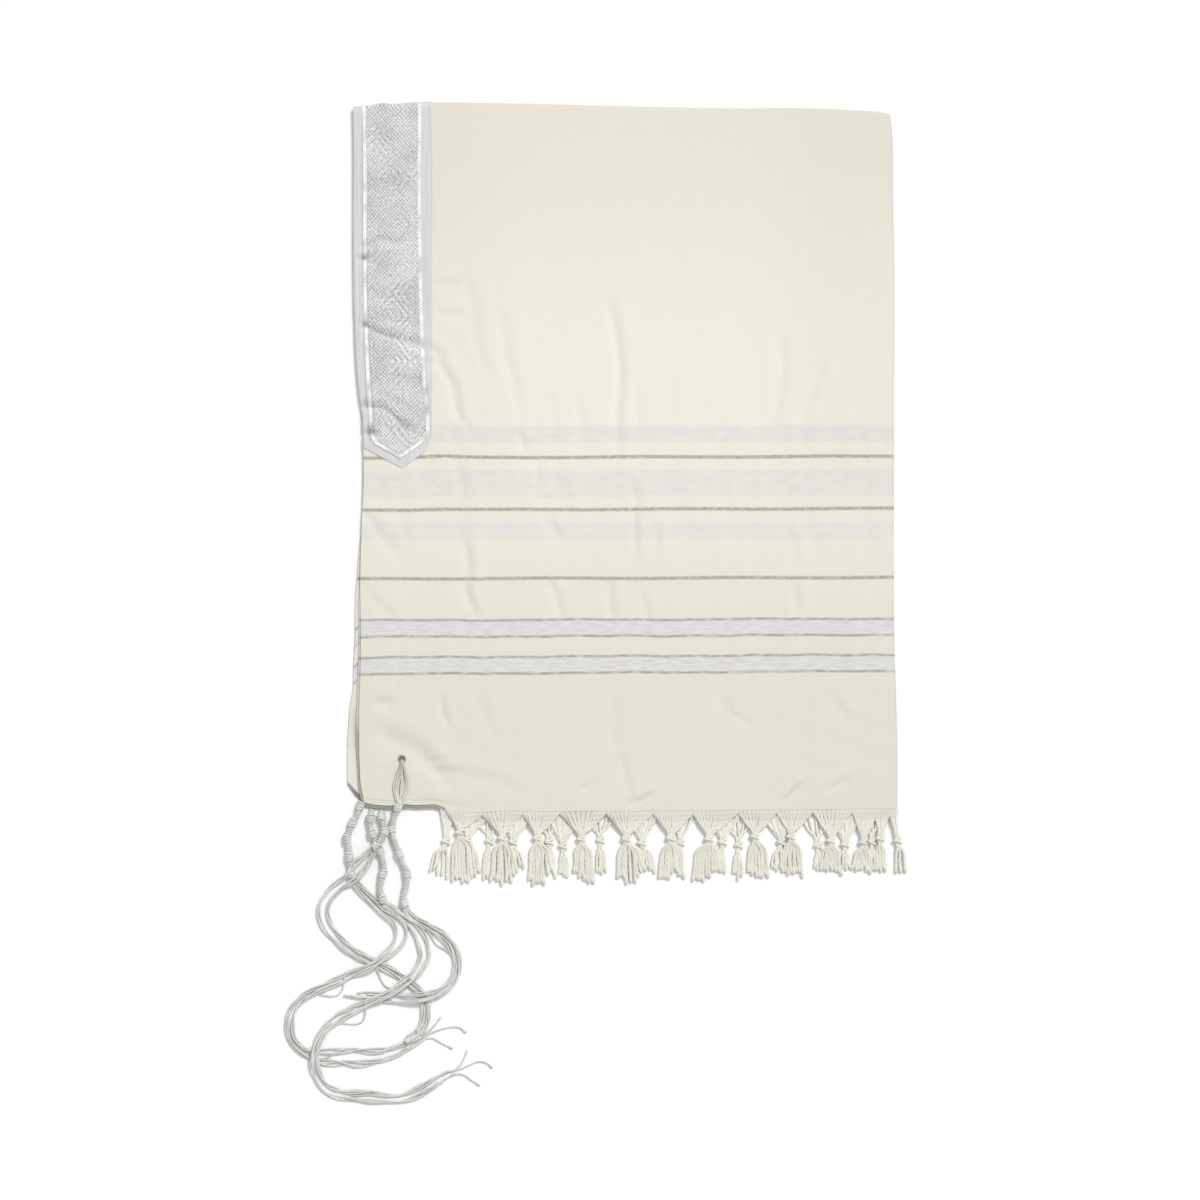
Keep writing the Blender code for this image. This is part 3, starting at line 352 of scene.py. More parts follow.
# Tassels of the fringes: layer (0 is the front quarter's), knot, roots along the hem, and the cords' ends
TASSELS = tuple(Tassel(*row) for row in (
    (0, -210, -421, (-226, -182), ((-219, -482), (-213, -479), (-206, -484), (-199, -483), (-190, -474))),
    (0, -157, -428, (-182, -131), ((-171, -482), (-163, -481), (-157, -487), (-145, -483), (-138, -470))),
    (0, -113, -428, (-131, -85), ((-123, -480), (-118, -487), (-111, -484), (-104, -486), (-94, -468))),
    (0, -58, -429, (-85, -26), ((-67, -471), (-60, -477), (-54, -480), (-48, -484), (-42, -484))),
    (0, -2, -429, (-26, 33), ((-12, -478), (-6, -474), (-1, -485), (10, -483), (17, -470), (23, -468))),
    (0, 54, -428, (33, 82), ((40, -478), (46, -477), (52, -479), (59, -466), (65, -474), (71, -478))),
    (0, 102, -429, (82, 139), ((82, -481), (89, -480), (95, -482), (103, -477), (110, -469), (117, -470))),
    (0, 159, -426, (139, 187), ((151, -470), (156, -474), (162, -476), (169, -477), (176, -477))),
    (0, 204, -426, (187, 232), ((194, -470), (201, -474), (208, -472), (215, -470), (219, -477))),
    (0, 254, -431, (232, 282), ((242, -468), (250, -469), (256, -468), (261, -469), (268, -474))),
    (0, 295, -433, (282, 313), ((281, -467), (286, -469), (293, -467), (299, -469), (304, -472))),
    (0, 316, -428, (309, 329), ((311, -468), (317, -470), (323, -469))),
    (0, 338, -431, (327, 336), ((336, -471), (348, -470))),
    (1, -227, -432, (-236, -216), ((-247, -470), (-238, -474), (-226, -479))),
    (1, -200, -430, (-218, -166), ((-197, -480), (-190, -476), (-185, -471))),
    (2, -173, -432, (-202, -150), ((-180, -480), (-175, -478))),
    (1, -143, -433, (-166, -112), ((-150, -476), (-138, -469), (-130, -466))),
    (2, -98, -433, (-124, -74), ((-98, -470), (-94, -468), (-90, -478))),
    (1, -81, -438, (-106, -52), ((-85, -472), (-79, -475), (-75, -477))),
    (2, -34, -431, (-62, -8), ((-38, -470), (-32, -473), (-27, -470))),
    (1, 18, -434, (-8, 42), ((16, -468), (22, -469), (28, -468), (34, -472))),
    (2, 66, -434, (42, 92), ((64, -475), (70, -477))),
    (1, 119, -433, (92, 146), ((111, -469), (117, -469), (122, -472))),
    (2, 139, -437, (110, 166), ((132, -472), (138, -481), (143, -476))),
    (1, 192, -433, (160, 214), ((181, -465), (187, -469), (196, -470))),
    (2, 238, -438, (208, 262), ((234, -465), (238, -468), (246, -466))),
    (1, 272, -436, (246, 300), ((264, -466), (274, -468), (279, -466))),
    (2, 306, -433, (286, 328), ((299, -466), (306, -467), (311, -469))),
))
# By layer: radius of the cords, height of the knots, sides of a cord and mm between its rings
FRINGE_RADIUS = (2, 1.7, 1.7)
FRINGE_LEVEL = (4.7, 3.1, 1.8)
FRINGE_CELLS = ((8, 2.2), (6, 3), (6, 3))
FRINGE_LAY, FRINGE_RIDGE = 15, 0.08
FRINGE_ENDS = (-236, 336)
KNOT_PACK = np.array([3.4, 1.4])  # half width and height that a knot packs its cords into
FRINGE_WRAPS = ((1.6, 0.55), (-1.6, -0.5))  # the knot's own turns: mm up, and slant
FRINGE_WRAP_SIZE = (4.4, 2.2)  # half width and half height of a turn
FRINGE_WRAP_RADIUS = 1.7
WEB_RIDGES, WEB_SIDES, WEB_ROWS, WEB_NECK = 11, 44, 10, 2.6
LEFT_SHADOW = (0.36, 0.34)  # painted shadow on the left of a web and of a tassel's first cord

# Stage, in metres, degrees and millimetres of lens
FLOOR_HALF = 30
KEY_STRENGTH, KEY_ANGLE, KEY_TURN, KEY_COLOUR = 1.95, 13, (-34, 27, 0), (1, 0.99, 0.97)
SKY_COLOUR, SKY_STRENGTH = (0.97, 0.985, 1, 1), 0.62
LENS, SENSOR = 100, 36
VIEW_MIDDLE, VIEW_WIDTH, VIEW_LEVEL = (-0.03425, -0.1306), 1.5, 0.005

# Settings that shader nodes and yarns share
RGBA = {"out": 2, "data_type": "RGBA"}
SOFT_STEP = {"interpolation_type": "SMOOTHSTEP"}
WOOL = {"Sheen_Weight": 0.1, "Specular_IOR_Level": 0.25}
# Patterns in metres: yarns, the brocade's dots, diamonds and outlines, and the braid's floats
WEAVE_PITCH = 0.0015
DOT_ACROSS, DOT_ALONG = 0.0046, 0.0050
DIAMOND_AT, DIAMOND_HALF, DIAMOND_STRETCH = 0.29, 0.024, 0.85
OUTLINE_PITCH, FLOAT_PITCH = 0.0084, 0.0022
BUMP = 0.0003


def linear(code):
    """An sRGB hex colour as linear red, green, blue."""
    value = np.array([int(code[at : at + 2], 16) for at in (0, 2, 4)]) / 255
    return tuple(np.where(value <= 0.04045, value / 12.92, ((value + 0.055) / 1.055) ** 2.4))


def ease(t):
    """3t^2 - 2t^3 between 0 and 1."""
    t = np.clip(t, 0, 1)
    return t * t * (3 - 2 * t)


def bell(distance, width):
    """A bell curve: 1 in the middle and 1/e a width away."""
    return np.exp(-((distance / width) ** 2))


def smooth_along(table, at):
    """Smooth curve through a table's rows: each piece is a cubic with the rows' mean slopes."""
    rows = np.array(sorted(table), float)
    along, offset = rows[:, 0], rows[:, 1]
    slope = np.gradient(offset, along)
    at = np.clip(at, along[0], along[-1])
    low = np.clip(np.searchsorted(along, at) - 1, 0, len(along) - 2)
    span = along[low + 1] - along[low]
    t = (at - along[low]) / span
    start = (2 * t**3 - 3 * t**2 + 1) * offset[low] + (t**3 - 2 * t**2 + t) * span * slope[low]
    end = (3 * t**2 - 2 * t**3) * offset[low + 1] + (t**3 - t**2) * span * slope[low + 1]
    return start + end


def unit(vectors):
    """Vectors along the last axis, made one long."""
    return vectors / np.maximum(np.linalg.norm(vectors, axis=-1, keepdims=True), 1e-9)


def run_of(path):
    """Distances along a path."""
    return np.concatenate([[0], np.cumsum(np.linalg.norm(np.diff(path, axis=0), axis=1))])


def sampled(path, run, at):
    """Places at these distances along a path."""
    return np.stack([np.interp(at, run, column) for column in path.T], axis=-1)


def smooth_route(route, step):
    """Distances and rows a step apart along a smooth curve through a route, measured on the flat."""
    route = np.array(route, float)
    along = run_of(route[:, :2])
    fine = np.linspace(0, along[-1], max(8, int(along[-1] / 0.5)))
    dense = np.column_stack([smooth_along(list(zip(along, column)), fine) for column in route.T])
    run = run_of(dense[:, :2])
    even = np.linspace(0, run[-1], max(6, int(round(run[-1] / step)) + 1))
    return even, sampled(dense, run, even)


def shares(length, cells, close=EDGE_CELLS):
    """Places between 0 and 1 with close ones by both ends, so that a cut edge shades crisply."""
    close = np.array(close) / length
    inner = np.linspace(close[-1], 1 - close[-1], cells + 1)[1:-1]
    return np.concatenate([close, inner, 1 - close[::-1]])


def across_between(left, right, share):
    """Rows of places from a left edge to a right one, given row by row."""
    return left[:, None] + (right - left)[:, None] * share


def crease_height(crease, along, across):
    """A trough with a lower ridge on its far side, each a bell curve across, faded in and out along.

    The line it is given is the trough's shaded wall, on that far side.
    """
    depth, mean_width, *points = crease
    first, last = min(points)[0], max(points)[0]
    t = (along - first) / (last - first)
    fade = ease(t / CREASE_FADE) * ease((1 - t) / CREASE_FADE)
    width = mean_width * (0.8 + 0.4 * t)
    side = across - smooth_along(points, along) + 0.75 * width
    return depth * fade * (0.5 * bell(side - 1.9 * width, 1.4 * width) - bell(side, width))


def ripples(x, y):
    """Small uneven puckers that the tight stripes pull into the cloth, as sums of sines across it."""
    at = x + 6 * np.sin(y / 61) + 3 * np.sin(y / 23 + x / 90)
    wave = np.sin(at / 4.6) * np.sin(at / 31 + 1) + 0.8 * np.sin(at / 7.3 + 2) * np.sin(at / 43)
    wave = wave + 0.7 * np.sin(at / 11.7 + y / 40)
    near = bell(y - 55, 75) + 0.9 * bell(y + 40, 60) + 1.1 * bell(y + 195, 40) + 0.2
    slow = 0.5 * np.sin(x / 83 + y / 120) + 0.4 * np.sin(x / 47 - y / 71 + 2)
    slow = slow + 0.3 * np.sin(x / 29 + y / 190 + 0.7)
    rough = np.sin(x / 9 + y / 13) * np.sin(y / 11 - x / 17 + 1) * bell(y + 330, 90)
    fine = np.sin(x / 3.1 + y / 9 + 2 * np.sin(x / 37))
    fine = fine * np.sin(y / 3.7 - x / 11 + 2 * np.sin(y / 29))
    fine = fine * (bell(y - 25, 90) + bell(y + 190, 50))
    return PUCKERS * wave * near + SLOW_SWELLS * slow + ROUGH_HEM * rough + COCKLES * fine


def relief(x, y):
    """Height of the front quarter over its rest: air inside, thin cut edges, creases and puckers."""
    from_left = x - smooth_along(LEFT_EDGE, y)
    from_hem = y - smooth_along(HEM, x)
    inside = ease(from_left / EDGE_CALM) * ease(from_hem / EDGE_CALM)
    height = SWELL * ease(from_left / SWELL_REACH) * ease(from_hem / SWELL_REACH)
    for distance in (from_left, from_hem):
        height = height - EDGE_SINK * np.exp(-np.maximum(distance, 0) / EDGE_SINK_REACH)
    height = height + HEM_ROLL * bell(from_hem - HEM_ROLL_AT, HEM_ROLL_WIDTH) * ease((PLAIN_END - x) / 10)
    height = height + ripples(x, y) * inside
    for creases, along, across in ((UPRIGHT_CREASES, y, x), (LEVEL_CREASES + BAND_CREASES, x, y)):
        for crease in creases:
            height = height + crease_height(crease, along, across)
    return height


def turns_past(x, y):
    """How far flat places lie past the two fold lines, as angles of the turn, and the lines themselves."""
    right = smooth_along(SECOND_FOLD, y) - FOLD_REACH - FOLD_WALL
    top = smooth_along(FIRST_FOLD, x) - FOLD_REACH - FOLD_WALL
    past_x, past_y = np.maximum(x - right, 0), np.maximum(y - top, 0)
    turn_x, turn_y = np.minimum(past_x / FOLD_ARC, np.pi), np.minimum(past_y / TOP_ARC, np.pi)
    return right, top, past_x, past_y, turn_x, turn_y


def drape(x, y, rest):
    """Inner side of the front quarter at flat places x, y: past a fold line it turns down and under.

    The turn is half an ellipse: out by the sine and down by half of one less the cosine.
    """
    right, top, past_x, past_y, turn_x, turn_y = turns_past(x, y)
    flat_x, flat_y = np.minimum(x, right), np.minimum(y, top)
    high = rest + relief(flat_x, flat_y)
    px = flat_x + FOLD_REACH * np.sin(turn_x) - (past_x - turn_x * FOLD_ARC)
    py = flat_y + FOLD_REACH * np.sin(turn_y) - (past_y - turn_y * TOP_ARC)
    down_x = (high - LOW) * (1 - np.cos(turn_x)) / 2
    down_y = (high - MIDDLE) * (1 - np.cos(turn_y)) / 2
    return np.stack([px, py, np.maximum(high - down_x - down_y, LOW)], axis=-1)


def front_shade(x, y):
    """Tone of the front quarter: painted shade makes the folded edges and the sides of the upper half a
    little greyer.
    """
    _, _, past_x, past_y, _, _ = turns_past(x, y)
    sides = ease((np.abs(x - 16) - 110) / 150) * (0.3 + 0.7 * ease((y + 60) / 120))
    tone = 1 - SIDE_SHADE * sides - SECOND_FOLD_SHADE * ease((past_x - 0.2) / 2.2)
    return tone - FIRST_FOLD_SHADE * ease((past_y - 0.4) / 2.4)


def moved_out(points, distance):
    """A grid moved along its normals: the cross product of its two directions."""
    return points + unit(np.cross(np.gradient(points, axis=1), np.gradient(points, axis=0))) * distance


def frames(path):
    """Direction, level side and upward normal at each point of a path."""
    ahead = unit(np.gradient(path, axis=0))
    side = unit(np.stack([-ahead[:, 1], ahead[:, 0], 0 * ahead[:, 0]], axis=1))
    return ahead, side, np.cross(ahead, side)


def ring_angles(sides):
    """Angles of the sides of a ring."""
    return np.linspace(0, 2 * np.pi, sides + 1)[:-1]


def cord_uv(run, sides):
    """Coordinates on a cord: turns round it, and metres along it."""
    return np.stack(np.broadcast_arrays(np.linspace(0, 1, sides + 1)[None, :], run[:, None] * MM), axis=-1)


def tube(path, wide, sides, tall=None, lay=None, ridge=0.13):
    """Rings round a path, with rounded ends.

    Each ring is an ellipse, wide by tall. With a lay, its plies are ridges that turn once in that length.
    """
    path = np.array(path, float)
    wide = np.broadcast_to(np.asarray(wide, float), (len(path),))
    tall = wide if tall is None else np.broadcast_to(np.asarray(tall, float), (len(path),))
    ahead, _, _ = frames(path)
    before = path[0] - ahead[0] * tall[0] * CAP_REACH
    path = np.vstack([before, path, path[-1] + ahead[-1] * tall[-1] * CAP_REACH[::-1]])
    wide, tall = (
        np.concatenate([size[0] * CAP_SIZE, size, size[-1] * CAP_SIZE[::-1]]) for size in (wide, tall)
    )
    run = run_of(path)
    _, side, up = frames(path)
    angle = ring_angles(sides)[None, :]
    lobe = 1 + (ridge * np.cos(PLIES * (angle - 2 * np.pi * run[:, None] / lay)) if lay else 0 * angle)
    across = (np.cos(angle) * lobe * wide[:, None])[..., None] * side[:, None, :]
    over = (np.sin(angle) * lobe * tall[:, None])[..., None] * up[:, None, :]
    return Part(path[:, None, :] + across + over, cord_uv(run, sides), True)


def ring_tube(path, radius, sides):
    """A closed loop of cord: circles round a closed path, as one grid whose last ring meets its first."""
    following = unit(np.roll(path, -1, axis=0) - np.roll(path, 1, axis=0))
    outward = path - path.mean(axis=0)
    outward = unit(outward - following * (outward * following).sum(axis=1, keepdims=True))
    other = np.cross(following, outward)
    angle = ring_angles(sides)[None, :, None]
    circle = np.cos(angle) * outward[:, None, :] + np.sin(angle) * other[:, None, :]
    points = path[:, None, :] + radius * circle
    run = run_of(np.vstack([path, path[:1]]))
    return Part(np.vstack([points, points[:1]]), cord_uv(run, sides), True)


def joined(parts):
    """Corners, starts, points, UVs and tone of several grids together.

    A closed grid joins its last column to its first and has filled ends.
    """
    corners, starts, points, uvs, shade = [], [], [], [], []
    first, loops = 0, 0
    for part in parts:
        rows, columns = part.points.shape[:2]
        index = np.arange(rows * columns).reshape(rows, columns) + first
        uv = part.uv
        if part.closed:
            cells = np.stack([index, np.roll(index, -1, axis=1)], axis=-1)
        else:
            cells = np.stack([index[:, :-1], index[:, 1:]], axis=-1)
        pairs = np.stack([uv[:, :-1], uv[:, 1:]], axis=2)
        corners.append(np.concatenate([cells[:-1], cells[1:][..., ::-1]], axis=-1).ravel())
        uvs.append(np.concatenate([pairs[:-1], pairs[1:][:, :, ::-1]], axis=2).reshape(-1, 2))
        starts.append(np.arange(loops, loops + len(corners[-1]), 4))
        loops += len(corners[-1])
        if part.closed:
            for ring, ring_uv in ((index[0][::-1], uv[0, :-1][::-1]), (index[-1], uv[-1, :-1])):
                corners.append(ring)
                uvs.append(ring_uv)
                starts.append(np.array([loops]))
                loops += columns
        points.append(part.points.reshape(-1, 3))
        shade.append(np.ones(rows * columns) if part.shade is None else part.shade.ravel())
        first += rows * columns
    return [np.concatenate(values) for values in (corners, starts, points, uvs, shade)]


def assemble(name, parts, material):
    """One mesh of several grids, on the frame's one body."""
    corners, starts, points, uvs, shade = joined(parts)
    mesh = bpy.data.meshes.new(name)
    mesh.vertices.add(len(points))
    mesh.vertices.foreach_set("co", (points * MM).astype(np.float32).ravel())
    mesh.loops.add(len(corners))
    mesh.loops.foreach_set("vertex_index", corners.astype(np.int32))
    mesh.polygons.add(len(starts))
    mesh.polygons.foreach_set("loop_start", starts.astype(np.int32))
    mesh.polygons.foreach_set("use_smooth", np.ones(len(starts), dtype=bool))
    layer = mesh.uv_layers.new(name="cloth")
    layer.data.foreach_set("uv", uvs.astype(np.float32).ravel())
    tone = mesh.attributes.new("shade", "FLOAT", "POINT")
    tone.data.foreach_set("value", shade.astype(np.float32))
    mesh.update(calc_edges=True)
    mesh.validate()
    mesh.materials.append(material)
    piece = bpy.data.objects.new(name, mesh)
    bpy.context.scene.collection.objects.link(piece)
    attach(piece, "root")
    return piece


def sheet(name, part, material, slot, wall, node):
    """One sheet of cloth that takes the place of a node. Its wall grows outwards."""
    piece = assemble(name, [part], material)
    solid = piece.modifiers.new("wall", "SOLIDIFY")
    solid.thickness = wall * MM
    solid.offset = 1
    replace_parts(piece, node)
    return piece


def cloth_uv(x, y, lower=0):
    """Cloth coordinates in metres: across, and up from the hem along the weft, which drifts upwards."""
    drift = (x + 330) / 660 * (1.9 + 2.2 * ease((-130 - y) / 90))
    drift = drift + 1.6 * bell(x + 234, 26) * bell(y - 40, 60) + 0.45 * np.sin(x / 37 + y / 50)
    drift = drift + 0.5 * np.sin(x / 12 + 1) * bell(y + 190, 40)
    return np.stack([x, y - HEM_LEVEL - drift + lower], axis=-1) * MM


def add_node(tree, kind, inputs=None, out=0, **settings):
    """Adds a shader node and gives back one of its outputs. Each input is a value or another's output."""
    made = tree.nodes.new("ShaderNode" + kind)
    for name, value in settings.items():
        setattr(made, name, value)
    for key, value in (inputs or {}).items():
        socket = made.inputs[key]
        if isinstance(value, bpy.types.NodeSocket):
            tree.links.new(value, socket)
        elif socket.type == "RGBA":
            socket.default_value = (*value[:3], 1)
        else:
            socket.default_value = value
    return made.outputs[out]


def new_material(name, **settings):
    """A node material, its tree and its Principled shader with these inputs set."""
    made = bpy.data.materials.new(name)
    made.use_nodes = True
    shader = made.node_tree.nodes["Principled BSDF"]
    for key, value in settings.items():
        shader.inputs[key.replace("_", " ")].default_value = value
    return made, made.node_tree, shader


def cloth_place(tree):
    """A piece's own coordinates on its cloth or cord, in metres, and their two axes."""
    place = add_node(tree, "UVMap", uv_map="cloth")
    return place, *(add_node(tree, "SeparateXYZ", {0: place}, out=axis) for axis in (0, 1))


def streaks(tree, place, scale, low, high, least=0, most=1):
    """Uneven threads: noise stretched by a scale of cycles a metre, spread between two levels."""
    stretched = add_node(tree, "Mapping", {0: place, 3: scale})
    noise = add_node(tree, "TexNoise", {"Vector": stretched, "Scale": 1, "Detail": 2})
    return add_node(tree, "MapRange", {0: noise, 1: low, 2: high, 3: least, 4: most})


def waves(tree, length, pitch):
    """Sine of a length, one wave in every pitch."""
    turn = add_node(tree, "Math", {0: length, 1: 2 * np.pi / pitch}, operation="MULTIPLY")
    return add_node(tree, "Math", {0: turn}, operation="SINE")


def finished(tree, shader, colour, height, strength, distance):
    """Links a colour, darkened and in places lightened by the painted shade and tone that the mesh carries,
    and a bump.
    """
    shade = add_node(tree, "Attribute", out="Fac", attribute_name="shade")
    grey = add_node(tree, "CombineColor", {0: shade, 1: shade, 2: shade})
    colour = add_node(tree, "Mix", {0: 1, 6: colour, 7: grey}, **RGBA, blend_type="MULTIPLY")
    tree.links.new(colour, shader.inputs["Base Color"])
    bump = add_node(tree, "Bump", {"Height": height, "Strength": strength, "Distance": distance})
    tree.links.new(bump, shader.inputs["Normal"])


def wool_ground(tree, look, place, rise):
    """Tone of the plain wool, which falls off from the upper middle to the first fold and to the hem as
    painted shade.
    """
    ground = look.cloth_colour
    for low, high, tone in ((0.56, 0.88, look.cloth_fold_shade_colour), (0.50, 0.10, look.cloth_hem_shade_colour)):
        share = add_node(tree, "MapRange", {0: rise, 1: low, 2: high}, **SOFT_STEP)
        ground = add_node(tree, "Mix", {0: share, 6: ground, 7: tone}, **RGBA)
    cloud = streaks(tree, place, (5, 5, 1), 0.35, 0.65, 0, 0.5)
    tint = {0: cloud, 6: ground, 7: (0.985, 0.995, 0.975)}
    return add_node(tree, "Mix", tint, **RGBA, blend_type="MULTIPLY")


def stripe_tones(tree, look, place, ground):
    """Colour of each kind of stripe: streaks of two tones, by their scale and levels."""
    tones = {}
    # Painted light: the ribbons' brighter floats are a painted sheen, and the glint colour in lines and
    # threads a painted glint
    for kind, scale, levels, light, dark in (
        ("ribbon", (60, 420, 1), (0.36, 0.64), look.ribbon_light_colour, look.ribbon_colour),
        ("satin", (55, 120, 1), (0.34, 0.62, 0.45, 1.1), ground, look.satin_colour),
        ("line", (150, 260, 1), (0.42, 0.66, 0, 0.45), look.line_colour, look.glint_colour),
        ("thread", (75, 260, 1), (0.42, 0.66, 0, 0.7), look.thread_colour, look.glint_colour),
    ):
        share = streaks(tree, place, scale, *levels)
        tones[kind] = add_node(tree, "Mix", {0: share, 6: light, 7: dark}, **RGBA)
    return tones


def woven_wool(look):
    """Plain-woven fine wool with woven-in stripes.

    The wool scatters light softly and shows slubs along both yarns. Satin stripes are cooler and smoother,
    and the lines are dark thread with a broken metallic glint, painted into their colour.
    """
    material, tree, shader = new_material("wool_plain_weave", Roughness=0.85, **WOOL)
    place, across, rise = cloth_place(tree)
    ground = wool_ground(tree, look, place, rise)
    tones = stripe_tones(tree, look, place, ground)
    colour, ribs = ground, 0
    for middle, half, soft, kind in STRIPES:
        off = add_node(tree, "Math", {0: rise, 1: middle * MM}, operation="SUBTRACT")
        off = add_node(tree, "Math", {0: off}, operation="ABSOLUTE")
        outer, inner = (half + soft / 2) * MM, (half - soft / 2) * MM
        mask = add_node(tree, "MapRange", {0: off, 1: outer, 2: inner}, **SOFT_STEP)
        colour = add_node(tree, "Mix", {0: mask, 6: colour, 7: tones[kind]}, **RGBA)
        if kind in ("line", "thread"):
            ribs = add_node(tree, "Math", {0: ribs, 1: mask}, operation="MAXIMUM")
    warp = streaks(tree, place, (620, 30, 1), 0.3, 0.7)
    weft = streaks(tree, place, (38, 620, 1), 0.3, 0.7)
    slub = add_node(tree, "Math", {0: warp, 1: weft}, operation="ADD")
    tone = add_node(tree, "MapRange", {0: slub, 1: 0.3, 2: 1.7, 3: 0.99, 4: 1.008})
    grey = add_node(tree, "CombineColor", {0: tone, 1: tone, 2: tone})
    colour = add_node(tree, "Mix", {0: 1, 6: colour, 7: grey}, **RGBA, blend_type="MULTIPLY")
    # Yarns of 0.5 mm are too fine to show, so the weave is drawn three times as coarse
    yarns = {0: waves(tree, across, WEAVE_PITCH), 1: waves(tree, rise, WEAVE_PITCH)}
    weave = add_node(tree, "Math", yarns, operation="MULTIPLY")
    height = add_node(tree, "Math", {0: weave, 1: 0.25, 2: slub}, operation="MULTIPLY_ADD")
    height = add_node(tree, "Math", {0: ribs, 1: 1.2, 2: height}, operation="MULTIPLY_ADD")
    finished(tree, shader, colour, height, 0.24, BUMP)
    return material


def twisted_cord(name, colour, groove, lay, spread=0.6):
    """Loosely plied yarn: the plies show as slanting ridges, with painted shade in the grooves between them.
    """
    material, tree, shader = new_material(name, Roughness=0.88, **WOOL)
    _, around, run = cloth_place(tree)
    slant = add_node(tree, "Math", {0: around, 1: -lay * MM, 2: run}, operation="MULTIPLY_ADD")
    ply = waves(tree, slant, lay * MM / PLIES)
    solid = add_node(tree, "TexCoord", out="Object")
    share = add_node(tree, "MapRange", {0: ply, 1: -1, 2: 0.3, 3: spread, 4: 0})
    drift = streaks(tree, solid, (60, 60, 60), 0.4, 0.7, 0, 0.45)
    share = add_node(tree, "Math", {0: share, 1: drift}, operation="ADD", use_clamp=True)
    colour = add_node(tree, "Mix", {0: share, 6: colour, 7: groove}, **RGBA)
    fibre = streaks(tree, solid, (420, 420, 420), 0, 1)
    height = add_node(tree, "Math", {0: ply, 1: fibre}, operation="ADD")
    finished(tree, shader, colour, height, 0.6, BUMP)
    return material


def satin_weave(look):
    """Rayon satin of the neckband's border: its long floats' soft streaky gleam along the band is a painted
    sheen.
    """
    material, tree, shader = new_material("rayon_satin_weave", Roughness=0.55, Sheen_Weight=0.1)
    streak = streaks(tree, add_node(tree, "UVMap", uv_map="cloth"), (620, 9, 1), 0.36, 0.64)
    colour = add_node(tree, "Mix", {0: streak, 6: look.border_colour, 7: look.band_colour}, **RGBA)
    finished(tree, shader, colour, streak, 0.3, BUMP)
    return material


def diamonds(tree, place):
    """Floats along nested diamonds, which fade into a ground of dots.

    Two triangle waves across and along the band give a diamond's nested outlines by their sum, and the
    breaks in each outline by their difference. It is the plain traditional lattice and copies no maker's.
    """
    bend = add_node(tree, "TexNoise", {"Vector": place, "Scale": 42}, out=1)
    bent = add_node(tree, "Mix", {0: 0.006, 6: place, 7: bend}, **RGBA)
    across, along = (add_node(tree, "SeparateXYZ", {0: bent}, out=axis) for axis in (0, 1))
    dots = {0: waves(tree, across, DOT_ACROSS), 1: waves(tree, along, DOT_ALONG)}
    dots = add_node(tree, "Math", dots, operation="MULTIPLY")
    across = add_node(tree, "Math", {0: across, 1: DIAMOND_AT}, operation="ADD")
    across = add_node(tree, "Math", {0: across, 1: DIAMOND_HALF}, operation="PINGPONG")
    along = add_node(tree, "Math", {0: along, 1: DIAMOND_STRETCH}, operation="MULTIPLY")
    along = add_node(tree, "Math", {0: along, 1: DIAMOND_HALF}, operation="PINGPONG")
    outline, breaks = (
        waves(tree, add_node(tree, "Math", {0: across, 1: along}, operation=step), OUTLINE_PITCH)
        for step in ("ADD", "SUBTRACT")
    )
    breaks = add_node(tree, "Math", {0: breaks, 1: 0.4, 2: 0.6}, operation="MULTIPLY_ADD")
    strokes = add_node(tree, "Math", {0: outline, 1: breaks}, operation="MULTIPLY")
    clear = streaks(tree, place, (30, 26, 1), 0.5, 0.66, 0, 0.95)
    return add_node(tree, "Mix", {0: clear, 2: dots, 3: strokes})


def lurex_brocade(look):
    """Brocade of metallic thread: short bright floats on a greyer ground, worn unevenly."""
    settings = {"Roughness": 0.6, "Specular_IOR_Level": 0.35}
    material, tree, shader = new_material("metallic_thread_brocade", **settings)
    place = add_node(tree, "UVMap", uv_map="cloth")
    pattern = diamonds(tree, place)
    contrast = streaks(tree, place, (150, 120, 1), 0.32, 0.66, 0.1, 0.72)
    patch = streaks(tree, place, (24, 24, 1), 0.35, 0.65, 0.26, 0.52)
    speckle = streaks(tree, place, (330, 300, 1), 0.35, 0.65, -0.22, 0.22)
    patch = add_node(tree, "Math", {0: patch, 1: speckle}, operation="ADD")
    share = {0: pattern, 1: contrast, 2: patch}
    share = add_node(tree, "Math", share, operation="MULTIPLY_ADD", use_clamp=True)
    colour = add_node(tree, "Mix", {0: share, 6: look.brocade_dark_colour, 7: look.brocade_colour}, **RGBA)
    finished(tree, shader, colour, pattern, 0.4, BUMP)
    return material


def silver_braid(look):
    """Flat braid of bright metallic thread: short slanting floats with a painted glint that breaks up in the
    waves.
    """
    settings = {"Roughness": 0.45, "Specular_IOR_Level": 0.5}
    material, tree, shader = new_material("metallic_thread_braid", **settings)
    place, across, along = cloth_place(tree)
    slant = add_node(tree, "Math", {0: across, 1: 0.6, 2: along}, operation="MULTIPLY_ADD")
    # Grey streaks and patches in the silver: partly wear, partly painted shade where the braid turns in the
    # waves; its edges greyer
    worn_and_shaded = streaks(tree, place, (40, 34, 1), 0.46, 0.62, 0, 0.8)
    gap = streaks(tree, place, (30, 210, 1), 0.56, 0.66, 0, 0.7)
    share = add_node(tree, "Math", {0: worn_and_shaded, 1: gap}, operation="MAXIMUM")
    edge = add_node(tree, "Math", {0: across}, operation="ABSOLUTE")
    edge = add_node(tree, "MapRange", {0: edge, 1: 0.0016, 2: 0.0025, 3: 0, 4: 0.85})
    share = add_node(tree, "Math", {0: share, 1: edge}, operation="MAXIMUM")
    colour = add_node(tree, "Mix", {0: share, 6: look.silver_colour, 7: look.band_colour}, **RGBA)
    finished(tree, shader, colour, waves(tree, slant, FLOAT_PITCH), 0.3, 0.0002)
    return material


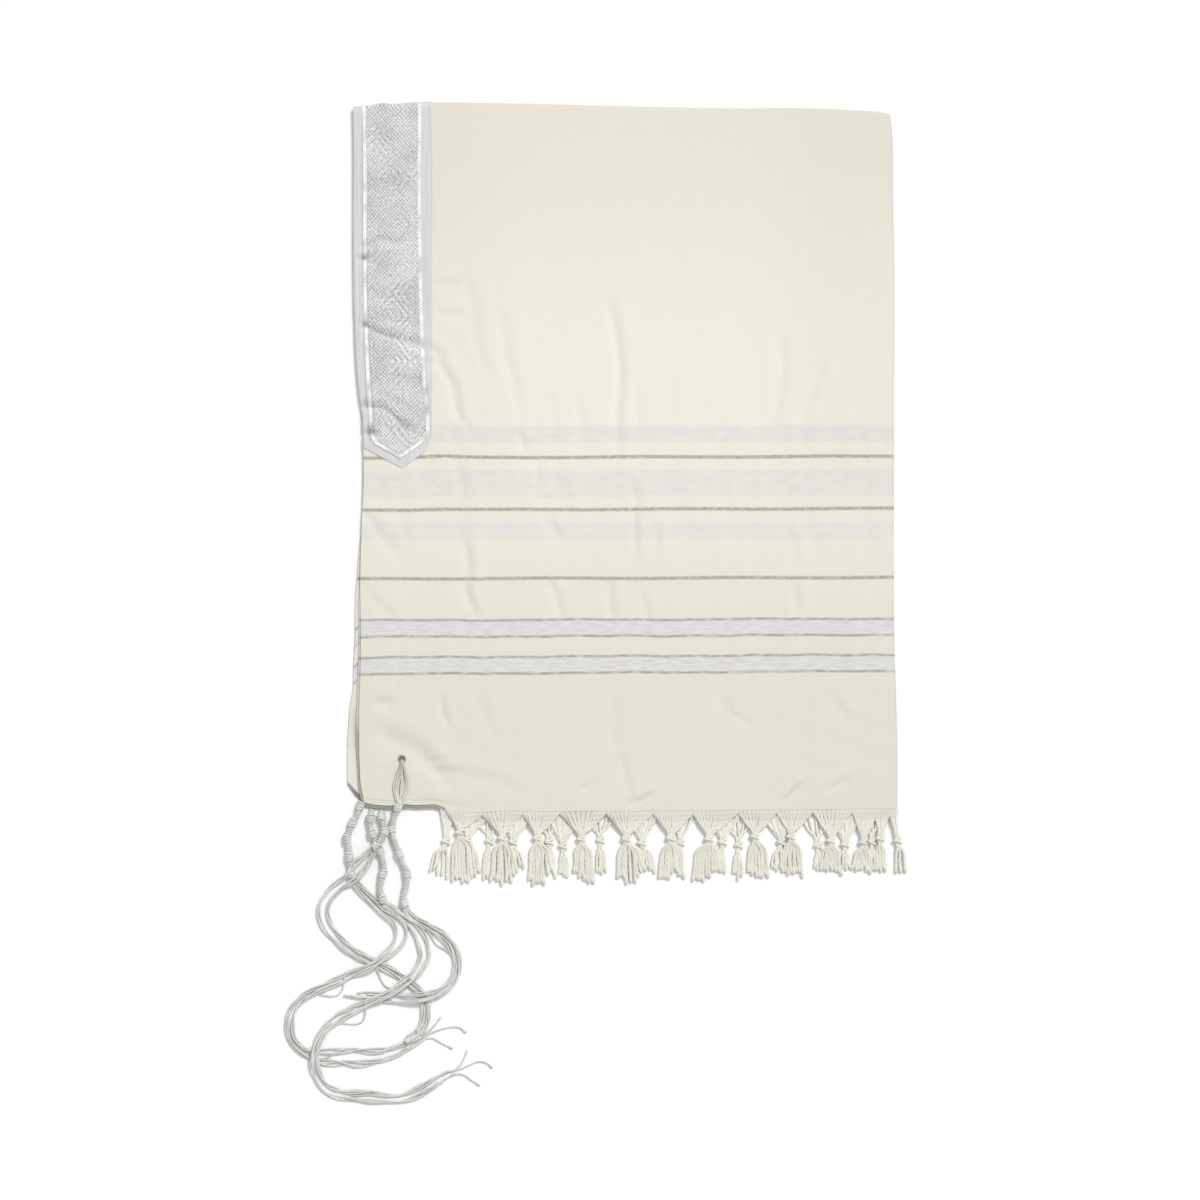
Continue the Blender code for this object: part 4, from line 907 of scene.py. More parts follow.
def painted_floor(look):
    """Matt white paper sweep, quite even."""
    material, tree, shader = new_material("paper_sweep_matt", Roughness=0.95, Specular_IOR_Level=0.1)
    grain = streaks(tree, add_node(tree, "TexCoord", out="Object"), (3, 3, 1), 0.3, 0.7)
    darker = tuple(channel * 0.985 for channel in look.floor_colour)
    colour = add_node(tree, "Mix", {0: grain, 6: look.floor_colour, 7: darker}, **RGBA)
    tree.links.new(colour, shader.inputs["Base Color"])
    return material


def colour_property(name, description, code):
    return bpy.props.FloatVectorProperty(
        name=name, description=description, subtype="COLOR", size=3, min=0.0, max=1.0, default=linear(code)
    )


def size_property(name, description, value):
    return bpy.props.FloatProperty(
        name=name, description=description, default=value, subtype="DISTANCE", unit="LENGTH"
    )


class TallitLooks(bpy.types.PropertyGroup):
    """Finishes of the shawl."""

    cloth_colour: colour_property("Wool", "Cream wool of the body", "EBE6DA")
    # Painted shade: the wool is made darker towards the first fold and towards the hem
    cloth_fold_shade_colour: colour_property("Wool by the fold", "Wool near the first fold", "E3DED1")
    cloth_hem_shade_colour: colour_property("Wool by the hem", "Wool near the hem", "E0DBCF")
    satin_colour: colour_property("Satin stripe", "Cool white satin of the wide stripes", "E0DDD8")
    ribbon_colour: colour_property("Ribbon stripe", "Satin between the thin lines", "D4D1D1")
    # Painted light: the ribbons' brighter floats stand for sheen, and the glint colour for the lines' glint
    ribbon_light_colour: colour_property("Ribbon stripe, light", "Brighter floats of that satin", "E1DEDD")
    line_colour: colour_property("Dark line", "Olive grey thread of the wide lines", "ABA998")
    thread_colour: colour_property("Thin line", "Grey thread of the thin lines", "A9A69D")
    glint_colour: colour_property("Glint", "Metallic glint in the lines", "DAD8CE")
    # Painted sheen: the neckband's satin is streaked between this light tone and the grey one below
    border_colour: colour_property("Neckband satin", "Light side of the neckband's satin", "DCDBDB")
    band_colour: colour_property("Neckband satin, dark", "Grey side of the neckband's satin", "CACACA")
    brocade_colour: colour_property("Brocade", "Raised metallic thread of the brocade", "F4F4F3")
    brocade_dark_colour: colour_property("Brocade, dark", "Ground of the brocade", "ABABAA")
    silver_colour: colour_property("Silver thread", "Metallic thread", "F6F6F4")
    fringe_colour: colour_property("Fringe", "Fringe yarn", "EBE8DD")
    fringe_shade_colour: colour_property("Fringe, grooves", "Between the plies of the fringe", "DDDACE")
    tzitzit_colour: colour_property("Tzitzit", "Tzitzit yarn", "E4E6E1")
    tzitzit_shade_colour: colour_property("Tzitzit, grooves", "Between the plies of the tzitzit", "BFC0BB")
    loop_colour: colour_property("Loop", "Tzitzit yarn soiled by handling", "EBE7DE")
    loop_shade_colour: colour_property("Loop, grooves", "Between the plies of the loop", "BDB5AA")
    eyelet_colour: colour_property("Eyelet", "Buttonhole thread", "ECDCD2")
    # Worn thread with painted shade: the inner stitches are dark brown for the shade inside the hole
    worn_and_shaded_colour: colour_property("Eyelet, inside", "Thread worn brown in the hole", "85766B")
    floor_colour: colour_property("Floor", "Paper sweep", "FCFCFC")


class TallitSizes(bpy.types.PropertyGroup):
    """Sizes of the shawl that may be changed."""

    cloth_wall: size_property("Cloth", "Thickness of the wool", 0.0011)
    band_wall: size_property("Band", "Thickness of the satin", 0.0009)
    braid_wall: size_property("Braid", "Thickness of brocade and braid", 0.0008)
    front_rest: size_property("Rest", "Height of the front quarter's underside", 0.0056)
    columns: bpy.props.IntProperty(name="Columns", description="Cells across the cloth", default=166, min=20)
    rows: bpy.props.IntProperty(name="Rows", description="Cells up the cloth", default=220, min=20)


class TALLIT_OT_stage(bpy.types.Operator):
    """Sets up the floor, the light and the camera above the shawl"""

    bl_idname = "tallit.stage"
    bl_label = "Stage"

    def execute(self, context):
        scene = context.scene
        corners = [(x * FLOOR_HALF, y * FLOOR_HALF, 0) for x, y in ((-1, -1), (1, -1), (1, 1), (-1, 1))]
        mesh = bpy.data.meshes.new("floor")
        mesh.from_pydata(corners, [], [(0, 1, 2, 3)])
        mesh.materials.append(painted_floor(scene.tallit_looks))
        floor = bpy.data.objects.new("floor", mesh)
        sun = bpy.data.lights.new("studio_key", "SUN")
        sun.energy = KEY_STRENGTH
        sun.angle = np.radians(KEY_ANGLE)
        sun.color = KEY_COLOUR
        key = bpy.data.objects.new("studio_key", sun)
        key.rotation_euler = np.radians(KEY_TURN)
        world = bpy.data.worlds.new("studio")
        world.use_nodes = True
        sky = world.node_tree.nodes["Background"]
        sky.inputs["Color"].default_value = SKY_COLOUR
        sky.inputs["Strength"].default_value = SKY_STRENGTH
        scene.world = world
        lens = bpy.data.cameras.new("camera")
        lens.lens = LENS
        lens.sensor_width = SENSOR
        lens.clip_end = 100
        camera = bpy.data.objects.new("camera", lens)
        camera.location = (*VIEW_MIDDLE, VIEW_WIDTH * LENS / SENSOR + VIEW_LEVEL)
        for item in (floor, key, camera):
            scene.collection.objects.link(item)
        scene.camera = camera
        scene.view_settings.view_transform = "Standard"
        return {"FINISHED"}


def knot_wraps(path, run, at, seed):
    """A double knot: four slanting rings of cord round the stem, crossing in pairs."""
    centre, ahead = sampled(path, run, at), sampled(frames(path)[0], run, at)
    side = np.array([-ahead[1], ahead[0], 0]) / np.hypot(ahead[0], ahead[1])
    up = np.cross(ahead, side)
    turn = np.linspace(0, 2 * np.pi, 25)[:-1, None]
    parts = []
    for shift, slant in KNOT_RINGS:
        ring = centre + ahead * (shift + STEM_RADIUS * slant * np.cos(turn + seed))
        ring = ring + (STEM_RADIUS - 0.1) * (np.cos(turn) * side + np.sin(turn) * up)
        ring[:, 2] = np.maximum(ring[:, 2], KNOT_LEAST)
        parts.append(ring_tube(ring, KNOT_RADIUS, KNOT_SIDES))
    return parts


def stem_parts(path, run, press, number):
    """A stem's core and the cord wound round it, both as low as it is pressed."""
    core = STEM_RADIUS - 2 * WINDING_RADIUS + 0.5
    at = np.linspace(0, run[-1], int(run[-1] / WINDING_LAY) * 12)
    centre = sampled(path, run, at)
    _, side, up = frames(centre)
    angle = 2 * np.pi * at / WINDING_LAY + 0.8 * np.sin(at / 5)
    reach = (STEM_RADIUS - WINDING_RADIUS + 0.3 * np.sin(at / 3.1 + number))[:, None]
    flat = np.interp(at, run, press)[:, None]
    coil = centre + reach * (np.cos(angle)[:, None] * side + flat * np.sin(angle)[:, None] * up)
    thick = WINDING_RADIUS * flat[:, 0] ** 0.7
    coil[:, 2] = np.maximum(coil[:, 2], thick + 0.1)
    return [tube(path, core, 10, tall=core * press), tube(coil, WINDING_RADIUS, 6, tall=thick)]


class TALLIT_OT_stems(bpy.types.Operator):
    """Winds the four knotted stems"""

    bl_idname = "tallit.stems"
    bl_label = "Tzitzit stems"

    def execute(self, context):
        look = context.scene.tallit_looks
        cord = twisted_cord("wool_two_ply_wound", look.tzitzit_colour, look.tzitzit_shade_colour, 5)
        for number, (route, knots) in enumerate(zip(STEMS, KNOTS), start=1):
            run, path = smooth_route(route, 1.5)
            path[:, 2] += STEM_RADIUS - STEM_ROUTE_RADIUS
            rising = STEM_PRESS + (1 - STEM_PRESS) * ease((run - 2) / 12)
            press = rising if number in FLAT_STEMS else 1 + 0 * run
            path[:, 2] = np.maximum(path[:, 2] * press, (STEM_RADIUS + 0.2) * press)
            parts = stem_parts(path, run, press, number)
            for share in knots:
                parts += knot_wraps(path, run, share * run[-1], number)
            piece = assemble(f"tzitzit_{number}_windings", parts, cord)
            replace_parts(piece, f"tzitzit_{number}_stem")
        return {"FINISHED"}


def strand_path(number, strand, draw):
    """Centre line of one strand: it winds slowly round the middle of its group of four.

    It lies beside the bundle's route by the sine of its turn and over the surface by the cosine.
    """
    run, route = smooth_route(BUNDLES[number], ROUTE_STEP)
    x, y, lift, half, spread = route.T
    ahead = unit(np.gradient(route[:, :2], axis=0))
    left = np.stack([-ahead[:, 1], ahead[:, 0]], axis=1)
    group = 1 if strand < 4 else -1
    turn = (strand % 4) * np.pi / 2 + group * 2 * np.pi * run / draw.uniform(75, 125) + 0.7 * group
    turn = turn + 0.5 * np.sin(run / draw.uniform(13, 24) + draw.uniform(0, 6))
    aside = group * half + 1.6 * spread * np.sin(turn) + 0.4 * np.sin(run / draw.uniform(9, 19) + strand)
    rise = 1.4 * (1 + np.cos(turn)) / np.maximum(spread, 1) ** 0.3
    for tzitzit, lone, start, stop, peak, reach in STRAYS:
        if (tzitzit, lone) == (number + 1, strand):
            share = np.clip((run - start) / (stop - start), 0, 1)
            out = np.sin(np.pi * share ** (np.log(0.5) / np.log(peak))) ** 2
            aside = aside + reach * out
            rise = rise * (1 - out)
    flat = np.stack([x, y], axis=1) + left * aside[:, None]
    level = STRAND_RADIUS + 0.1
    path = np.column_stack([flat, level + rise + lift])
    path = path[run <= run[-1] - STRAND_ENDS[number][strand]]
    tip = TIPS[number].get(strand)
    if tip:
        fan = [(*place, level) for place in tip]
        _, path = smooth_route(np.vstack([path[::6][:-1], fan]), ROUTE_STEP)
    return path


class TALLIT_OT_strands(bpy.types.Operator):
    """Lays the thirty-two strands of the tzitzit"""

    bl_idname = "tallit.strands"
    bl_label = "Tzitzit strands"

    def execute(self, context):
        look = context.scene.tallit_looks
        colours = look.tzitzit_colour, look.tzitzit_shade_colour
        cord = twisted_cord("wool_two_ply_cord", *colours, STRAND_LAY)
        draw = np.random.default_rng(18)
        for number in range(4):
            for strand in range(8):
                path = strand_path(number, strand, draw)
                run = run_of(path)
                wide = STRAND_RADIUS * (1 + 0.5 * bell(run[-1] - 2.5 - run, 1.5))
                path[:, 2] = np.maximum(path[:, 2], 1.13 * wide + 0.05)
                part = tube(path, wide, 8, lay=STRAND_LAY)
                piece = assemble(f"tzitzit_{number + 1}_strand_{strand + 1}", [part], cord)
                if strand == 0:
                    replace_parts(piece, f"tzitzit_{number + 1}_strands")
                if strand in TIPS[number]:
                    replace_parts(piece, f"strand_tip_{(1, 3, 6).index(strand) + 1 + 3 * number}")
        return {"FINISHED"}


def front_part(sizes):
    """The front quarter with its laps round the two folds: even cells, then closer ones in each turn."""
    turns = np.concatenate([np.linspace(0, np.pi, 10)[1:], [np.pi + 1, np.pi + 2.4]])
    column, row = shares(FRONT_SPAN[0], sizes.columns), shares(FRONT_SPAN[1], sizes.rows)
    y_mean = HEM_LEVEL + FRONT_RISE * row
    left = smooth_along(LEFT_EDGE, y_mean)
    right = smooth_along(SECOND_FOLD, y_mean) - FOLD_REACH - FOLD_WALL
    x = np.hstack([across_between(left, right, column), right[:, None] + turns * FOLD_ARC])
    x = np.vstack([x, np.repeat(x[-1:], len(turns), axis=0)])
    hem, top = smooth_along(HEM, x), smooth_along(FIRST_FOLD, x) - FOLD_REACH - FOLD_WALL
    share = np.concatenate([row, np.ones(len(turns))])[:, None]
    extra = np.concatenate([np.zeros(len(row)), turns * TOP_ARC])[:, None]
    y = hem + (top - hem) * share + extra
    return Part(drape(x, y, sizes.front_rest / MM), cloth_uv(x, y), False, front_shade(x, y))


def inner_shade(x, y, hem, plain):
    """Painted shade on the inner layers: dark where they show past the neck edge and under the plain hem, in
    the front quarter's shadow.
    """
    beyond = np.maximum(smooth_along(LEFT_EDGE, y) - x, 0)
    dark = 0.05 + 0.1 * ease((-150 - y) / 40) + 0.3 * ease((-276 - y) / 24)
    shade = 1 - dark * ease((beyond + 0.2) / 0.6) - 0.46 * plain * ease((hem - y + 0.4) / 0.8)
    return np.maximum(shade, 0.35)


def inner_part():
    """The two inner layers as one sheet folded near the second fold, by the neck edge a little uneven."""
    column, row = (shares(span, cells) for span, cells in zip(LEAF_SPAN, INNER_CELLS))
    y_mean = HEM_LEVEL + LEAF_RISE * row
    out = smooth_along(INNER_OUT, y_mean) + 0.4 * np.sin(y_mean / 13) + 0.3 * np.sin(y_mean / 37 + 1)
    edge = smooth_along(LEFT_EDGE, y_mean) - out
    right = smooth_along(SECOND_FOLD, y_mean) - INNER_INSET
    upper = across_between(right, edge, 1 - column)
    lower = across_between(right, edge + 1.7 + 0.5 * np.sin(y_mean / 19), column)
    bend = np.linspace(0, np.pi, 7)[1:-1]
    x = np.hstack([upper, right[:, None] + 0.6 * np.sin(bend), lower])
    count = len(column)
    high, middle, low = INNER_LEVELS
    level = np.concatenate([np.full(count, high), middle + 0.1 * np.cos(bend), np.full(count, low)])
    hem, top = smooth_along(HEM, x), smooth_along(FIRST_FOLD, x) - INNER_TOP_INSET
    plain = ease((PLAIN_END + 2 - x) / 10)
    drop = 1.5 + 3.1 * plain
    drop = np.where(np.arange(x.shape[1]) > count, drop - 0.9, drop)
    y = hem - drop + (top - hem + drop) * row[:, None]
    sunk = np.minimum(relief(np.minimum(x, right[:, None]), y), 0)
    points = np.stack([x, y, level + 0.25 * sunk], axis=-1)
    return Part(points, cloth_uv(x, y), False, inner_shade(x, y, hem, plain))


def back_shade(x, y, hem, beyond, near, lower):
    """Painted shade on the back leaf past the front quarter: darker beside that and under its hem, in its
    creases and in its corner; a little paler towards its free corner.
    """
    corner = (0.62 + 0.26 * ease((-366 - y) / 8)) * ease((-330 - x) / 3)
    corner = corner * ease((8.6 - (y - hem)) / 4) * ease((-356 - y) / 6)
    shade = 1 + 0.07 * near * ease((CORNER_TOP - y) / 30) - corner
    shade = shade - near * bell(beyond - 2, 3) * (0.06 + 0.3 * ease((-250 - y) / 50))
    creases = 0.14 * bell(x - CORNER_CREASE[0], 0.9) + 0.1 * bell(y - CORNER_CREASE[1], 1.6)
    shade = shade - near * creases * ease(lower)
    shade = shade - 0.5 * ease((hem + 3.2 - y) / 1.5) * ease((x + 331) / 3) * ease((PLAIN_END + 2 - x) / 8)
    return np.clip(shade, 0.3, 1.1)


def back_part():
    """The back leaf, flat on the surface, turned up at the first fold and shaped at its free corner."""
    column = shares(LEAF_SPAN[0], BACK_CELLS[0])
    row = shares(LEAF_SPAN[1], BACK_CELLS[1], BACK_EDGE_CELLS)
    left = smooth_along(BACK_LEFT, BACK_LOW + BACK_RISE * row)
    right = smooth_along(SECOND_FOLD, HEM_LEVEL + LEAF_RISE * row) - BACK_INSET
    x = across_between(right, left, 1 - column)
    arc = np.linspace(0, np.pi, 9)[1:]
    x = np.vstack([x, np.repeat(x[-1:], len(arc), axis=0)])
    hem, top = smooth_along(BACK_HEM, x), smooth_along(FIRST_FOLD, x) - FOLD_REACH - BACK_TOP_INSET
    share = np.concatenate([row, np.ones(len(arc))])[:, None]
    swing = np.concatenate([np.zeros(len(row)), arc])[:, None]
    y = hem + (top - hem) * share
    beyond = smooth_along(LEFT_EDGE, y) - x
    near = ease(beyond / 2)
    lower = (CORNER_TOP - y) / 20
    wave = near * (0.25 * np.sin(y / 17) - 0.3 * bell(x - CORNER_CREASE[0], 1.6) * ease(lower))
    z = LOW - 0.75 * (1 - ease((right[0] - x) / 60)) + 0.55 * (1 - np.cos(swing)) + np.maximum(wave, 0)
    points = np.stack([x, y + FOLD_REACH * np.sin(swing), z + 0 * y], axis=-1)
    uv = cloth_uv(x, y, BACK_DROP * near * ease((-100 - y) / 60))
    return Part(points, uv, False, back_shade(x, y, hem, beyond, near, lower))


def cut_hole(piece):
    """Opens the eyelet: cells inside it go, and the ones round it are pulled onto a circle."""
    mesh, centre = piece.data, np.array(EYELET)
    places = np.empty(len(mesh.vertices) * 3)
    mesh.vertices.foreach_get("co", places)
    places = places.reshape(-1, 3)
    off = places[:, :2] / MM - centre
    far = np.hypot(off[:, 0], off[:, 1])
    near = (far < EYELET_PULL) & (places[:, 2] > FRONT_LEAST)
    pushed = EYELET_HOLE + 0.2 + (far[near] / EYELET_PULL) ** 1.6 * (EYELET_SPREAD - EYELET_HOLE)
    places[near, :2] = (centre + off[near] / far[near, None] * pushed[:, None]) * MM
    mesh.vertices.foreach_set("co", places.ravel())
    shape = bmesh.new()
    shape.from_mesh(mesh)
    middles = np.array([face.calc_center_median()[:2] for face in shape.faces]) / MM - centre
    inside = [face for face, off in zip(list(shape.faces), np.hypot(*middles.T)) if off < EYELET_HOLE]
    bmesh.ops.delete(shape, geom=inside, context="FACES")
    shape.to_mesh(mesh)
    shape.free()


class TALLIT_OT_cloth(bpy.types.Operator):
    """Lays the four layers of the body cloth"""

    bl_idname = "tallit.cloth"
    bl_label = "Body cloth"

    def execute(self, context):
        sizes = context.scene.tallit_sizes
        wool = woven_wool(context.scene.tallit_looks), "wool_cloth"
        front = sheet("cloth_front", front_part(sizes), *wool, sizes.cloth_wall / MM, "body_cloth_front")
        cut_hole(front)
        inner = sheet("cloth_inner_fold", inner_part(), *wool, INNER_WALL, "body_cloth_hidden_layers")
        back = sheet("cloth_back", back_part(), *wool, BACK_WALL, "body_cloth_back")
        return {"FINISHED"}


def dent_shade(x, y):
    """Tone of the neckband at flat places: painted shade in each dent, by a bell curve both ways."""
    shade = 1 + 0 * x
    for dent_x, dent_y, wide, tall, depth in DENTS:
        shade = shade - depth * bell(x - dent_x, wide) * bell(y - dent_y, tall)
    return shade


def band_part(rest, lift, left, right, point, columns):
    """A panel of the neckband between two edges, given row by row, and a pointed lower edge."""
    share, row = shares(BAND_SPAN[0], columns), shares(BAND_SPAN[1], BAND_ROWS)
    y_mean = BAND_LOW + (BAND_TOP - BAND_LOW) * row
    x = across_between(smooth_along(left, y_mean), smooth_along(right, y_mean), share)
    low = np.interp(x, *np.array(point).T)
    y = low + (BAND_TOP - low) * row[:, None]
    return Part(moved_out(drape(x, y, rest), lift), np.stack([x, y], axis=-1) * MM, False, dent_shade(x, y))


def braid_part(rest, lift):
    """The braid as one strip: down the left side, round the point and up the right side.

    Its edges lie half its width along the mitres, each the sum of two neighbouring normals over one
    plus their product.
    """
    falling = np.linspace(BAND_TOP, BRAID_LOW, BRAID_STEPS)
    rising = np.linspace(BRAID_LOW, BAND_TOP, BRAID_STEPS)
    edges = (BRAID_LEFT, falling), (BRAID_RIGHT, rising)
    sides = [np.column_stack([smooth_along(edge, y), y]) for edge, y in edges]
    corners = np.array(BRAID_POINT, float)
    steps = np.linspace(0, 1, 9)[:-1, None]
    between = [low + (high - low) * steps for low, high in zip(corners, corners[1:])]
    middle = np.vstack([sides[0], *between, sides[1]])
    ahead = unit(np.diff(middle, axis=0))
    normal = np.stack([-ahead[:, 1], ahead[:, 0]], axis=1)
    normal = np.vstack([normal[:1], normal, normal[-1:]])
    mitre = (normal[:-1] + normal[1:]) / (1 + (normal[:-1] * normal[1:]).sum(axis=1, keepdims=True))
    off = BRAID_WIDTH * np.array(BRAID_OFFS)
    flat = middle[:, None, :] + mitre[:, None, :] * off[None, :, None]
    uv = np.stack(np.broadcast_arrays(off[None, :], run_of(middle)[:, None]), axis=-1) * MM
    x, y = flat[..., 0], np.minimum(flat[..., 1], BAND_TOP)
    return Part(moved_out(drape(x, y, rest), lift), uv, False, dent_shade(x, y))


class TALLIT_OT_neckband(bpy.types.Operator):
    """Lays the neckband: satin border, bright braid and brocade"""

    bl_idname = "tallit.neckband"
    bl_label = "Neckband"

    def execute(self, context):
        sizes, look = context.scene.tallit_sizes, context.scene.tallit_looks
        rest, satin_wall, top_wall = sizes.front_rest / MM, sizes.band_wall / MM, sizes.braid_wall / MM
        lift = sizes.cloth_wall / MM + 0.1
        left = [(y, x - 0.3) for y, x in LEFT_EDGE]
        part = band_part(rest, lift, left, BAND_RIGHT, BAND_POINT, 34)
        rayon = satin_weave(look), "satin_band"
        satin = sheet("neckband_satin", part, *rayon, satin_wall, "atarah_satin_band")
        lift = lift + satin_wall + 0.05
        inside = BRAID_WIDTH / 2 + 0.1
        left = [(y, x + inside) for y, x in BRAID_LEFT]
        right = [(y, x - inside) for y, x in BRAID_RIGHT]
        point = [(x, y + inside * 1.25) for x, y in BRAID_POINT]
        part = band_part(rest, lift, left, right, point, 24)
        metal = lurex_brocade(look), "silver_brocade"
        brocade = sheet("neckband_brocade", part, *metal, top_wall, "atarah_brocade")
        metal = silver_braid(look), "silver_braid"
        braid = sheet("neckband_braid", braid_part(rest, lift), *metal, top_wall, "atarah_silver_braid")
        return {"FINISHED"}


def root_shade(over_hem):
    """Painted shade on the warp ends: greyer by the hem, where they lie closest and shade one another."""
    return 1 - 0.12 * ease((over_hem + 16) / 9)


def left_light(tassel):
    """How strongly the painted shadow on the left side of a tassel shows, which fades out to the right along
    the fringe.
    """
    return ease((130 - tassel.x) / 150)


def web_part(tassel, first, last, level):
    """The ends of the warp side by side between hem and knot: a flat ridged web that narrows downwards."""
    down = np.linspace(0, 1, WEB_ROWS)[:, None]
    angle = ring_angles(WEB_SIDES)[None, :]
    half = (last - first) / 2
    wide = half * (1 - down) + WEB_NECK * down
    x = (first + half) * (1 - down) + tassel.x * down + wide * np.cos(angle)
    hem = smooth_along(HEM, x)
    y = hem + 1 + (tassel.y + 1 - hem) * down
    tall = (0.75 + 0.7 * down) * (1 + 0.16 * np.cos(WEB_RIDGES * angle))
    z = np.maximum(level - 0.75 + tall * np.sin(angle), 0.1)
    uv = np.stack([x * 0.1, y * MM], axis=-1)
    points = np.stack([x, y, z], axis=-1)
    # Painted shadow down the left side of a front web; the webs under it are painted a little lighter against
    # the shade they lie in
    left = LEFT_SHADOW[0] * (tassel.layer == 0) * ease((-np.cos(angle) - 0.7) / 0.2)
    left = left * bell(y - hem + 15, 11) * left_light(tassel) - 0.05 * (tassel.layer > 0)
    return Part(points, np.concatenate([uv, uv[:, :1]], axis=1), True, root_shade(y - hem) - left)


def tassel_cord(tassel, cord, share, root, end, draw):
    """One cord of a tassel, from its root at the hem through the knot to its end. At the hem it lies flat."""
    radius, level = FRINGE_RADIUS[tassel.layer], FRINGE_LEVEL[tassel.layer]
    sides, step = FRINGE_CELLS[tassel.layer]
    end_x, end_y = end
    hem = float(smooth_along(HEM, root)) - 0.6 * (tassel.layer == 0)
    angle = cord * 2.4 + draw.uniform(0, 0.6)
    packed = np.sqrt(share) * KNOT_PACK
    knot_x = tassel.x + packed[0] * np.cos(angle)
    knot_z = level - 0.6 + packed[1] * (1 + np.sin(angle)) / 2
    low = radius + 0.1
    half_x = root + (tassel.x - root) * 0.55 + packed[0] * np.cos(angle) * 0.3
    fan = tassel.x + (end_x - tassel.x) * 0.7 + draw.uniform(-0.8, 0.8)
    route = [
        (root, hem + 1.2, level - 0.1),
        (root + (tassel.x - root) * 0.12, hem - 3.5, level),
        (half_x, hem + (tassel.y - hem) * 0.55, level + draw.uniform(-0.2, 0.4)),
        (knot_x, tassel.y + 3, knot_z),
        (tassel.x + (knot_x - tassel.x) * 0.8, tassel.y - 2.5, knot_z),
        (fan, tassel.y - 15, max(knot_z - 1.8, low) + draw.uniform(0, 0.5)),
        ((fan + end_x) / 2 + draw.uniform(-1, 1), (tassel.y + end_y) / 2 - 8, low + draw.uniform(0, 0.9)),
        (end_x, end_y, low),
    ]
    run, path = smooth_route(route, step)
    under = path[:, 1] - hem
    size = 1 - 0.25 * bell(path[:, 1] - tassel.y, 6) + 0.25 * bell(run[-1] - 2.8 - run, 2)
    flat = ease((under + 13) / 13)
    wide, tall = radius * size * (1 + 0.8 * flat), radius * size * (1 - 0.45 * flat)
    path[:, 2] = np.maximum(path[:, 2], tall + 0.08)
    part = tube(path, wide, sides, tall=tall, lay=FRINGE_LAY, ridge=FRINGE_RIDGE)
    # Painted shadow on a front tassel's first cord; a little darker below the knot; cords of the layers under
    # it painted a little lighter against their shade
    left = LEFT_SHADOW[1] * (tassel.layer == 0) * (cord == 0) * left_light(tassel)
    tone = root_shade(under) - left * bell(under + 15, 9)
    tone = tone - 0.03 * ease((tassel.y - 4 - path[:, 1]) / 10) + 0.05 * (tassel.layer > 0)
    tone = np.concatenate([tone[:1], tone[:1], tone, tone[-1:], tone[-1:]])
    return part._replace(shade=np.repeat(tone, sides))


def knot_turn(tassel, level, shift, slant):
    """One of the flat slanting turns that the knot itself shows."""
    turn = ring_angles(20)
    across = tassel.x + FRINGE_WRAP_SIZE[0] * np.cos(turn)
    up = tassel.y + shift + slant * 4 * np.cos(turn + 0.4)
    over = np.maximum(level + 0.1 + FRINGE_WRAP_SIZE[1] * np.sin(turn), FRINGE_WRAP_RADIUS + 0.1)
    return ring_tube(np.column_stack([across, up, over]), FRINGE_WRAP_RADIUS, KNOT_SIDES)


def tassel_parts(tassel, draw):
    """Cords from the hem through a knot to their ends, the web behind them and the knot's own turns.

    Between each two listed ends hangs one more, shorter cord.
    """
    level = FRINGE_LEVEL[tassel.layer]
    ends = np.array(tassel.ends, float)
    lower = np.column_stack([0 * ends[1:, 0], draw.uniform(0, 5, len(ends) - 1)])
    ends = np.vstack([ends, (ends[1:] + ends[:-1]) / 2 + lower])
    ends = ends[np.argsort(ends[:, 0])]
    first, last = max(tassel.roots[0] - 2.5, FRINGE_ENDS[0]), min(tassel.roots[1] + 2.5, FRINGE_ENDS[1])
    parts = [web_part(tassel, first, last, level)] if tassel.layer < 2 else []
    for cord, end in enumerate(ends):
        share = (cord + 0.5) / len(ends)
        parts.append(tassel_cord(tassel, cord, share, first + (last - first) * share, end, draw))
    return parts + [knot_turn(tassel, level, shift, slant) for shift, slant in FRINGE_WRAPS]


class TALLIT_OT_fringes(bpy.types.Operator):
    """Knots the fringes of the front quarter and of the layers under it"""

    bl_idname = "tallit.fringes"
    bl_label = "Fringes"

    def execute(self, context):
        look = context.scene.tallit_looks
        colours = look.fringe_colour, look.fringe_shade_colour
        yarn = twisted_cord("wool_fringe_yarn", *colours, FRINGE_LAY, 0.5)
        draw = np.random.default_rng(5)
        for name, node, layers in (
            ("fringe_front_tassels", "fringe_front", (0,)),
            ("fringe_under_tassels", "fringe_under", (1, 2)),
        ):
            chosen = [tassel for tassel in TASSELS if tassel.layer in layers]
            parts = [part for tassel in chosen for part in tassel_parts(tassel, draw)]
            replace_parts(assemble(name, parts, yarn), node)
        return {"FINISHED"}


def stitch_ring(radius, reach, turns, thread, level):
    """Buttonhole stitches: one thread that runs in and out all the way round the hole."""
    angle = ring_angles(280)
    out = radius + reach * np.cos(angle * turns)
    over = level + 0.2 + reach * 0.6 * np.sin(angle * turns)
    ring = np.column_stack([EYELET[0] + out * np.cos(angle), EYELET[1] + out * np.sin(angle), over])
    return ring_tube(ring, thread, 5)


